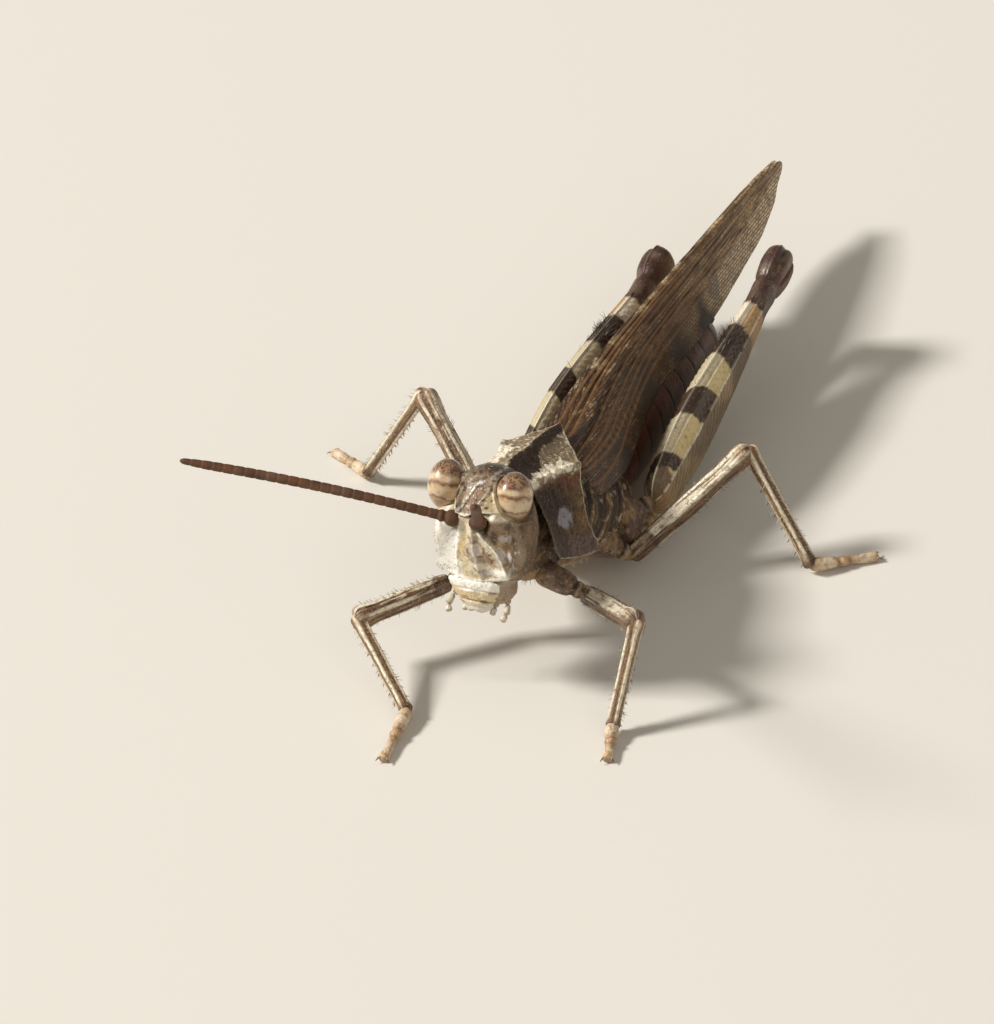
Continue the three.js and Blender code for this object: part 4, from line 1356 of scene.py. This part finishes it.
legShape = {
    "coxaSize": {"fore": 0.82, "mid": 1.2, "hind": 1.9},
    # how far its root lies inward of the solid's own
    "coxaShift": {"fore": (0.5, 0, 0.55), "mid": (0.5, 0, 0.55), "hind": (0.35, -0.8, 0.1)},
    "coxa": {
        "wide": [(0, 0.62), (0.4, 0.5), (0.66, 0.36), (0.72, 0.26), (0.8, 0.3), (1, 0.27)],
        "deep": [(0, 0.66), (0.4, 0.52), (0.66, 0.38), (0.72, 0.28), (0.8, 0.32), (1, 0.29)],
    },
    "femur": {
        "wide": [(0, 0.26), (0.1, 0.29), (0.5, 0.33), (0.78, 0.31), (0.92, 0.37), (1, 0.33)],
        "deep": [(0, 0.28), (0.1, 0.33), (0.45, 0.37), (0.78, 0.36), (0.92, 0.44), (1, 0.38)],
    },
    "tibia": {
        "wide": [(0, 0.27), (0.07, 0.25), (0.15, 0.22), (0.9, 0.2), (1, 0.25)],
        "deep": [(0, 0.29), (0.07, 0.27), (0.15, 0.23), (0.9, 0.21), (1, 0.25)],
    },
    "tarsus": {
        "wide": [
            (0, 0.18), (0.12, 0.23), (0.36, 0.22), (0.42, 0.15), (0.5, 0.2), (0.58, 0.14),
            (0.8, 0.17), (1, 0.2),
        ],
        "deep": [
            (0, 0.2), (0.12, 0.24), (0.36, 0.2), (0.42, 0.15), (0.5, 0.2), (0.58, 0.14),
            (0.8, 0.17), (1, 0.19),
        ],
    },
}
thighShape = {
    "wide": [
        (0, 0.4), (0.1, 0.5), (0.28, 0.6), (0.6, 0.5), (0.78, 0.4), (0.86, 0.44), (0.94, 0.54),
        (1, 0.46),
    ],
    "deep": [
        (0, 0.75), (0.12, 1.18), (0.27, 1.36), (0.5, 1.1), (0.74, 0.62), (0.83, 0.6),
        (0.93, 0.86), (1, 0.72),
    ],
    "upperLine": 1.02,
    "lowerLine": 0.42,
    # keels along the blade: where round it, how high, how wide
    "keels": [
        (math.pi / 2, 0.07, 0.06), (1.02, 0.05, 0.05), (0.42, 0.06, 0.05), (-0.75, 0.05, 0.06),
        (-math.pi / 2, 0.06, 0.07),
    ],
    "rib": 0.34,  # spacing of the herringbone ribs
}


def stretch(start, end, before, after):
    ahead = unit(end - start)
    return start - ahead * before, end + ahead * after


def legStripes(t, angle, length, seed):
    path = np.stack([np.cos(angle), np.sin(angle), t * length * 0.17], 1)
    return clouds(path, 0.42, seed) * 0.45 + clouds(path, 0.15, seed + 1) * 0.55


legCorners = {"femur": (0.5, 1.57, 2.64, -0.7, -2.44), "tibia": (0.8, 2.34, -0.8, -2.34)}


def onCorners(angle, kind, soft):
    return sum(hump(np.cos(angle - corner), 1, soft) for corner in legCorners.get(kind, ()))


def makeSegment(name, kind, start, end, around, steps, paint, bow=0.0, floor=False, size=1.0):
    shape = legShape[kind]

    def place(t, angle):
        ridge = 0.04 * onCorners(angle, kind, 0.035)
        wide, deep = (outline + ridge for outline in profiles(shape, t, "wide", "deep"))
        reach = {"coxa": 0.3, "tarsus": 0.07}.get(kind, 0.04)
        swell = mix(size, 1, softStep(0.3, 0.7, t))
        points = limbPoints(t, angle, start, end, wide * swell, deep * swell, reach, bow)
        points += clouds(points, 0.22, 6)[:, None] * 0.02
        if floor:
            points[:, 2] = np.maximum(points[:, 2], 0)
        return points

    def mark(points, t, angle):
        return paint(points, t, angle, np.linalg.norm(end - start))

    return closedForm(name, around, steps, place, floorFrame, mark)


def paintCoxa(points, t, angle, length):
    blot = clouds(points, 0.4, 61)
    spot = clouds(points, 0.16, 62)
    return {
        "bodyPlum": limit(0.35 + blot) * (1 - softStep(0.7, 0.8, t) * 0.5),
        "bodyTan": softStep(-0.1, 0.1, -blot) * 0.8,
        "bodyDark": softStep(0.06, 0.18, spot) * 0.6 + hump(t, 0.72, 0.04) * 0.9,
        "bodyPale": softStep(0.14, 0.22, -spot) * 0.6 + hump(t, 0.8, 0.03) * 0.5,
    }


def paintFemur(points, t, angle, length):
    stripe = legStripes(t, angle, length, 63)
    blot = clouds(points, 0.35, 65)
    ridge = limit(onCorners(angle, "femur", 0.02))
    high = softStep(0.6, 0.85, np.sin(angle + 0.3) + blot)  # the side turned up is painted whiter, with fewer brown stripes: painted highlight
    knee = softStep(0.84, 0.95, t)
    base = 1 - softStep(0.18, 0.22, t + blot * 0.1)
    band = between(0.15, 0.21, t + blot * 0.1, 0.015)
    band += between(0.58, 0.62, t + blot * 0.12, 0.02) * 0.5
    return {
        "legPink": knee * 0.5,
        "legBrown": (1 - 0.8 * high) * softStep(-0.24, -0.06, stripe) + base * 0.75 + band
        + knee * (0.3 + 2 * blot),
        "legDark": softStep(0.04, 0.1, stripe) * (1 - 0.25 * high) * (1 - 0.6 * knee)
        + band * softStep(-0.2, 0.0, stripe) * 0.8 + softStep(0.96, 0.99, t) * 0.5
        + softStep(0.15, 0.22, blot) * 0.4,
        "legWhite": (high * softStep(-0.08, 0.02, -stripe) * 0.9 + ridge * (0.6 - stripe * 4))
        * (1 - knee * 0.6) * (1 - 0.75 * base),
    }


def paintTibia(points, t, angle, length):
    stripe = legStripes(t, angle, length, 67)
    ridge = limit(onCorners(angle, "tibia", 0.05))
    flat = 1 - ridge
    return {
        "legPink": (1 - softStep(0.05, 0.12, t)) * 0.7,
        "legBrown": flat * softStep(-0.16, 0.02, stripe) + 0.4 * softStep(0.6, 1, t),
        "legDark": flat * softStep(0.03, 0.12, stripe) * 0.9 + softStep(0.9, 0.97, t) * 0.8,
        "legWhite": limit(ridge * (0.75 + stripe * 2) + softStep(0.08, 0.2, -stripe) * 0.6)
        * (1 - softStep(0.85, 0.95, t)),
    }


def paintTarsus(points, t, angle, length):
    blot = clouds(points, 0.3, 69)
    rings = hump(t, 0.42, 0.03) + hump(t, 0.58, 0.03) + hump(t, 0.02, 0.04)
    return {
        "legBrown": rings * 0.6 + softStep(0.1, 0.3, blot) * 0.3,
        "legDark": softStep(0.95, 1, t) * 0.4,
        "legPink": 0.35 + rings * 0.5 + blot,
        "legWhite": hump(t, 0.25, 0.12) * 0.5 + hump(t, 0.8, 0.1) * 0.5,
    }


def coneAt(name, root, tip, half, curl=0.0):  # a spine or claw
    def place(t, angle):
        girth = half * (1 - t) ** 0.8 + 0.004
        points = limbPoints(t, angle, root, tip, girth, girth, reach=0.1)
        points[:, 2] += curl * np.sin(np.pi * t)
        return points

    def mark(points, t, angle):
        return {"legDark": softStep(0.3, 0.8, t)}

    return closedForm(name, 6, 6, place, floorFrame, mark)


def clawPair(name, ankle, toe):
    ahead, high, side = limbAxes(ankle, toe)
    made = []
    for way in (1, -1):
        root = toe - ahead * 0.16 + side * way * 0.07 + high * 0.02
        tip = root + ahead * 0.26 + side * way * 0.17 - high * 0.02
        tip[2] = max(tip[2], 0.02)
        made.append(coneAt(f"{name}{way}", root, tip, 0.055, curl=0.07))
    return made


spineShape = {
    "half": 0.035,
    # on the fore and mid shins, then on the hind ones: pairs, length, how far down and out
    "short": (7, 0.3, 1.0, 0.7),
    "hind": (9, 0.42, 0.6, 1.0),
}


def spineRows(name, start, end, pairs, long, below, spread):
    ahead, high, side = limbAxes(start, end)
    made = []
    for number, way in itertools.product(range(pairs), (1, -1)):
        out = unit(side * way * spread - high * below)
        root = mix(start, end, mix(0.3, 0.95, number / (pairs - 1))) + out * 0.14
        tip = root + out * long * 0.8 + ahead * long * 0.55
        tip[2] = max(tip[2], 0.03)
        made.append(coneAt(f"{name}{number}{way}", root, tip, spineShape["half"]))
    return made


legJoints = {}
for pair, (name, side) in itertools.product(("fore", "mid", "hind"), sides.items()):
    leg = f"{pair}_{name}"
    coxaMiddle = solidMiddle(f"{leg}_coxa")
    hip, knee = nearFirst(solidEnds(f"{leg}_femur"), coxaMiddle)
    shin, ankle = nearFirst(solidEnds(f"{leg}_tibia"), knee)
    instep, toe = nearFirst(solidEnds(f"{leg}_tarsus"), ankle)
    if pair == "hind":
        shin = mix(shin, knee, 0.35)
    else:
        knee = shin = (knee + shin) / 2
    ankle = (ankle + instep) / 2
    shift = np.array(legShape["coxaShift"][pair]) * (-side, 1, 1)
    root = hip + (coxaMiddle - hip) * 2.1 + np.array(trunkFrame.to_3x3()) @ shift
    legJoints[leg] = (root, hip, knee, shin, ankle, toe)


def makeThigh(leg, outer):
    hip, knee = legJoints[leg][1:3]
    start, end = stretch(hip, knee, 0.12, -0.25)
    length = np.linalg.norm(end - start)
    lower, upper = thighShape["lowerLine"], thighShape["upperLine"]

    def sectionAngle(angle):  # the outer face is the same on both sides of the body
        return angle if outer > 0 else np.arctan2(np.sin(angle), -np.cos(angle))

    def ribWave(t, a, middle, slope):
        return np.sin(2 * np.pi * (t * length + np.abs(a - middle) * slope) / thighShape["rib"])

    def place(t, angle):
        a = sectionAngle(angle)
        wide, deep = profiles(thighShape, t, "wide", "deep")
        blade = between(0.02, 0.78, t, 0.03)
        lift = sum(high * hump(a, at, half) for at, high, half in thighShape["keels"]) * blade
        panel = between(lower + 0.08, upper - 0.06, a, 0.04)
        ribs = ribWave(t, a, (lower + upper) / 2, 0.9)
        lift += ((0.02 * ribs - 0.03) * panel + 0.008 * ribs * between(-0.6, 0.36, a, 0.06)) * blade
        inner = between(1.9, 3.6, np.where(a < 0, a + 2 * math.pi, a), 0.2)
        lift += 0.014 * ribWave(t, a, 2.6, 0.5) * inner * blade
        kneeZone = softStep(0.86, 0.9, t)
        lift += kneeZone * (0.07 * hump(a, 0.6, 0.3) - 0.13 * hump(a, 0.05, 0.1))
        lift += 0.05 * hump(a, 1.35, 0.08) * softStep(0.84, 0.9, t)
        lift -= 0.06 * hump(a, 1.0, 0.15) * kneeZone + 0.07 * hump(t, 0.865, 0.012)
        points = limbPoints(t, angle, start, end, wide + lift, deep + lift, 0.035)
        return points + clouds(points, 0.25, 8)[:, None] * 0.025

    def paint(points, t, angle):
        a = sectionAngle(angle)
        blot, spot = clouds(points, 0.4, 71), clouds(points, 0.16, 73)
        edge = t + blot * 0.02
        banded = softStep(lower - 0.02, lower + 0.03, a) * (a < 2.4)
        below = (1 - banded) * (a > -1.7) * (a < 1)
        inner = 1 - limit(banded + below)
        slant = edge - 0.035 * (math.pi / 2 - a)  # the bands lean towards the knee going down
        bar = between(0.07, 0.118, slant + 0.015, 0.004) + between(0.505, 0.655, edge, 0.008)
        bar += between(0.268, 0.385, slant + 0.03, 0.004)
        lowBar = between(0.2, 0.42, edge + a * 0.12, 0.02) * 0.5
        lowBar += between(0.5, 0.66, edge, 0.02) * 0.7
        knee, base = softStep(0.752, 0.765, edge), 1 - softStep(0.07, 0.08, edge)
        # ring: the pale band before the knee, tan on its outer side as painted shade and white on
        # its upper side as painted highlight
        ring = between(0.655, 0.755, edge, 0.008)
        rib = softStep(0.5, 0.9, ribWave(t, a, 0.72, 0.9))
        line = hump(a, lower, 0.06) * softStep(-0.12, 0.02, spot) * (1 - bar * 0.6)
        top = hump(a, math.pi / 2, 0.07) * (1 - 0.75 * bar)
        return {
            "thighGrey": softStep(upper - 0.03, upper + 0.03, a) * banded * 0.8,
            "thighYellow": between(lower, upper, a, 0.04) * 0.7 * (1 - 0.5 * rib),
            "thighOlive": below * (0.85 + blot * 0.5) * (1 - 0.35 * rib) * (1 - knee),
            # tan at the base, and on the pale ring as painted shade
            "thighTan": ring * 0.75 + base * 0.5,
            "thighDark": banded * (bar * (1 + blot * 0.2) + base * 0.7) + inner * (bar + 0.2)
            + below * lowBar + softStep(0.2, 0.28, spot) * 0.35,
            "kneePlum": knee * (0.95 + blot * 0.4),
            "kneeRed": knee * hump(a, 0.15, 0.35) * hump(t, 0.9, 0.05) * 0.8,
            # the knee's tip and the ring's upper side are painted highlight
            "thighWhite": hump(t, 0.985, 0.01) * softStep(0.2, 0.8, a) * 0.7
            + (top + line) * (1 - knee) + ring * softStep(1.1, 1.5, a) * 0.8,
        }

    return closedForm(f"{leg}_thigh", 180, 320, place, floorFrame, paint)


legHairBeds, thighHairBeds = [], []
for leg, (root, hip, knee, shin, ankle, toe) in legJoints.items():
    pair, name = leg.split("_")
    ends, size = stretch(root, hip, 0, 0.12), legShape["coxaSize"][pair]
    coxa = makeSegment(f"{leg}_hip", "coxa", *ends, 64, 56, paintCoxa, size=size)
    hand(coxa, bodyCuticle, "leg", f"{leg}_coxa")
    if pair == "hind":
        thigh = hand(makeThigh(leg, sides[name]), thighCuticle, "thigh", f"{leg}_femur")
        thighHairBeds.append((thigh, f"{leg}_thigh", knee - hip))
        ends, around, steps, rows = stretch(shin, ankle, 0.1, 0.1), 56, 220, spineShape["hind"]
    else:
        ends = stretch(hip, knee, 0.1, 0.12)
        thigh = makeSegment(f"{leg}_thigh", "femur", *ends, 120, 210, paintFemur)
        hand(thigh, legCuticle, "leg", f"{leg}_femur")
        legHairBeds.append((thigh, f"{leg}_thigh", knee - hip))
        ends, around, steps, rows = stretch(shin, ankle, 0.15, 0.1), 84, 190, spineShape["short"]
    shinParts = [makeSegment(f"{leg}_shinRod", "tibia", *ends, around, steps, paintTibia)]
    shinParts += spineRows(f"{leg}_spine", shin, ankle, *rows)
    shinPiece = hand(joined(f"{leg}_shin", shinParts), legCuticle, "leg", f"{leg}_tibia")
    if pair != "hind":
        legHairBeds.append((shinPiece, f"{leg}_shinRod", ankle - shin))
    ends = stretch(ankle, toe, 0.1, 0)
    foot = [makeSegment(f"{leg}_sole", "tarsus", *ends, 48, 120, paintTarsus, floor=True)]
    foot += clawPair(f"{leg}_claw", ankle, toe)
    hand(joined(f"{leg}_foot", foot), legCuticle, "leg", f"{leg}_tarsus")
print("legs made")

# hairs, each a thin cone rooted on a skin

hairShape = {
    "half": 0.012,
    "sunk": 0.12,  # part of its length that stands in the skin
    "patch": 0.0015,  # half of a hair's patch on the unwrap
    "leg": {"count": 130, "long": 0.2, "lean": 0.6},
    "thigh": {"count": 150, "long": 0.3, "lean": 0.7},
    "face": {"count": 110, "long": 0.12, "lean": 0.3},
    "thorax": {"count": 340, "long": 0.2, "lean": 0.5},
}


def growHairs(name, slot, beds, look):
    seed = bmesh.new()
    bmesh.ops.create_cone(seed, cap_ends=True, segments=4, radius1=1, radius2=0.3, depth=1)
    pattern = np.array([vertex.co for vertex in seed.verts]) + (0, 0, 0.5 - hairShape["sunk"])
    walls = [face for face in seed.faces if len(face.verts) == 4]
    faces = np.array([[loop.vert.index for loop in face.loops] for face in walls])
    seed.free()
    places, patches, darkness = [], [], []
    for column, (piece, skin, way, chance, dark) in enumerate(beds):
        unwrap = skins[skin]
        at, out = np.empty(len(piece.data.vertices) * 3), np.empty(len(piece.data.vertices) * 3)
        piece.data.vertices.foreach_get("co", at)
        piece.data.vertices.foreach_get("normal", out)
        weight = chance(unwrap[:, 0], (unwrap[:, 1] - 0.5) * 2 * np.pi) + 1e-9
        picks = draw.choice(len(unwrap), look["count"], p=weight / weight.sum())
        root, out = at.reshape(-1, 3)[picks], out.reshape(-1, 3)[picks]
        lean = unit(np.array(way)) * look["lean"] + draw.normal(0, 0.22, root.shape)
        ahead = unit(out + lean)
        side = unit(np.cross(ahead, (0.31, 0.52, 0.79)))
        high = np.cross(ahead, side)
        long = look["long"] * mm * draw.uniform(0.5, 1.15, (len(picks), 1, 1))
        cone = side[:, None] * pattern[None, :, :1] + high[:, None] * pattern[None, :, 1:2]
        hair = cone * hairShape["half"] * mm + ahead[:, None] * pattern[None, :, 2:] * long
        places.append((root[:, None] + hair).reshape(-1, 3))
        spread = pattern[None, :, :2] * hairShape["patch"] + unwrap[picks][:, None]
        spread[:, :, 0] = (spread[:, :, 0] + column) / len(beds)
        patches.append(spread.reshape(-1, 2))
        darkness.append(np.full(len(picks) * len(pattern), dark))
    places, patches = np.concatenate(places), np.concatenate(patches)
    hairs = len(places) // len(pattern)
    corners = (np.arange(hairs)[:, None, None] * len(pattern) + faces[None]).reshape(-1, 4)
    mesh = bpy.data.meshes.new(name)
    mesh.from_pydata(places.tolist(), [], corners.tolist())
    unwrapLayer = mesh.uv_layers.new(name="OFBake")
    unwrapLayer.data.foreach_set("uv", patches[corners.ravel()].astype(np.float32).ravel())
    layer = mesh.attributes.new("hairDark", "FLOAT", "POINT")
    layer.data.foreach_set("value", np.concatenate(darkness).astype(np.float32))
    coat = bpy.data.objects.new(name, mesh)
    bpy.context.scene.collection.objects.link(coat)
    return hand(coat, bristleHorn, slot)


def legChance(t, angle):
    return between(0.08, 0.9, t, 0.04) * (0.06 + onCorners(angle, "femur", 0.03))


def thighChance(t, angle):
    tuft = hump(t, 0.58, 0.05) * hump(np.sin(angle), 1, 0.25)
    edges = hump(np.sin(angle), 1, 0.01) * 0.06 + hump(np.sin(angle), -1, 0.02) * 0.1
    return tuft + between(0.08, 0.72, t, 0.03) * edges


def faceChance(t, angle):
    return between(0.62, 0.95, t, 0.05) * softStep(-0.2, 0.3, -np.sin(angle))


def thoraxChance(t, angle):
    return between(0.05, 0.75, t, 0.03) * (between(-1.9, -0.2, angle, 0.2) + (angle < -1.2))


down = (0, 0, -1)
legBeds = [bed + (legChance, 0.15) for bed in legHairBeds]
thighBeds = [bed + (thighChance, 0.95) for bed in thighHairBeds]
faceBeds = [(head, "headShell", down, faceChance, 0.1)]
thoraxBeds = [(thorax, "thoraxSkin", down, thoraxChance, 0.2)]
growHairs("legHairs", "leg", legBeds, hairShape["leg"])
growHairs("thighHairs", "thigh", thighBeds, hairShape["thigh"])
growHairs("faceHairs", "cuticle", faceBeds, hairShape["face"])
growHairs("thoraxHairs", "cuticle", thoraxBeds, hairShape["thorax"])
print("hairs grown")

# floor, light and camera

stageShape = {
    "floor": 6.0,  # metres across
    "floorColour": "e3e1dc",
    # lamps: place and size in millimetres, power, colour
    "lamps": {
        "keyLight": ((-760, -290, 700), 200, 13.0, "fffaf2"),
        "fillLight": ((520, -440, 520), 500, 0.9, "fff5e8"),
    },
    "skyColour": "f6eee0",
    "sky": 0.32,
}
bm = bmesh.new()
bmesh.ops.create_grid(bm, x_segments=1, y_segments=1, size=stageShape["floor"] / 2)
floor = toObject("floor", bm)
paper = {"Base Color": toLinear(stageShape["floorColour"]), "Roughness": 0.8}  # matt and pale
floor.data.materials.append(closeMaterial(newMaterial("palePaperFloor")[0], paper))

viewShape = {
    "azimuth": 24.0,
    "elevation": 35.5,
    "roll": -2.7,
    "distance": 900,
    "aim": (-2.374, 1.661),  # right and up of the shield's rear tip, on the floor
    "high": 34.87,  # millimetres that the frame is high
    "sensor": 36.0,
}
azimuth, elevation = math.radians(viewShape["azimuth"]), math.radians(viewShape["elevation"])
level = math.cos(elevation)
back = Vector((math.sin(azimuth) * level, -math.cos(azimuth) * level, math.sin(elevation)))
right = Vector((math.cos(azimuth), math.sin(azimuth), 0))
up = back.cross(right)
roll = math.radians(viewShape["roll"])
cos, sin = math.cos(roll), math.sin(roll)
right, up = right * cos + up * sin, up * cos - right * sin
aim = Vector((*posture["place"][:2], 0)) + right * viewShape["aim"][0] + up * viewShape["aim"][1]

cameraData = bpy.data.cameras.new("camera")
cameraData.sensor_width = viewShape["sensor"]
cameraData.lens = viewShape["sensor"] * viewShape["distance"] / viewShape["high"]
cameraData.clip_start, cameraData.clip_end = 0.01, 20
camera = bpy.data.objects.new("camera", cameraData)
bpy.context.scene.collection.objects.link(camera)
camera.matrix_world = Matrix.Translation((aim + back * viewShape["distance"]) * mm) @ Matrix(
    (right, up, back)
).transposed().to_4x4()
bpy.context.scene.camera = camera


def softBox(name, place, size, power, colour):
    data = bpy.data.lights.new(name, "AREA")
    data.shape = "SQUARE"
    data.size = size * mm
    data.energy = power
    data.color = toLinear(colour)[:3]
    lamp = bpy.data.objects.new(name, data)
    bpy.context.scene.collection.objects.link(lamp)
    lamp.location = Vector(place) * mm
    lamp.rotation_euler = (-Vector(place)).to_track_quat("-Z", "Y").to_euler()


for name, settings in stageShape["lamps"].items():
    softBox(name, *settings)

world = bpy.data.worlds.new("studio")
bpy.context.scene.world = world
world.use_nodes = True
sky = world.node_tree.nodes["Background"].inputs
sky["Color"].default_value = toLinear(stageShape["skyColour"])
sky["Strength"].default_value = stageShape["sky"]
bpy.context.scene.view_settings.view_transform = "Standard"
print("stage made")
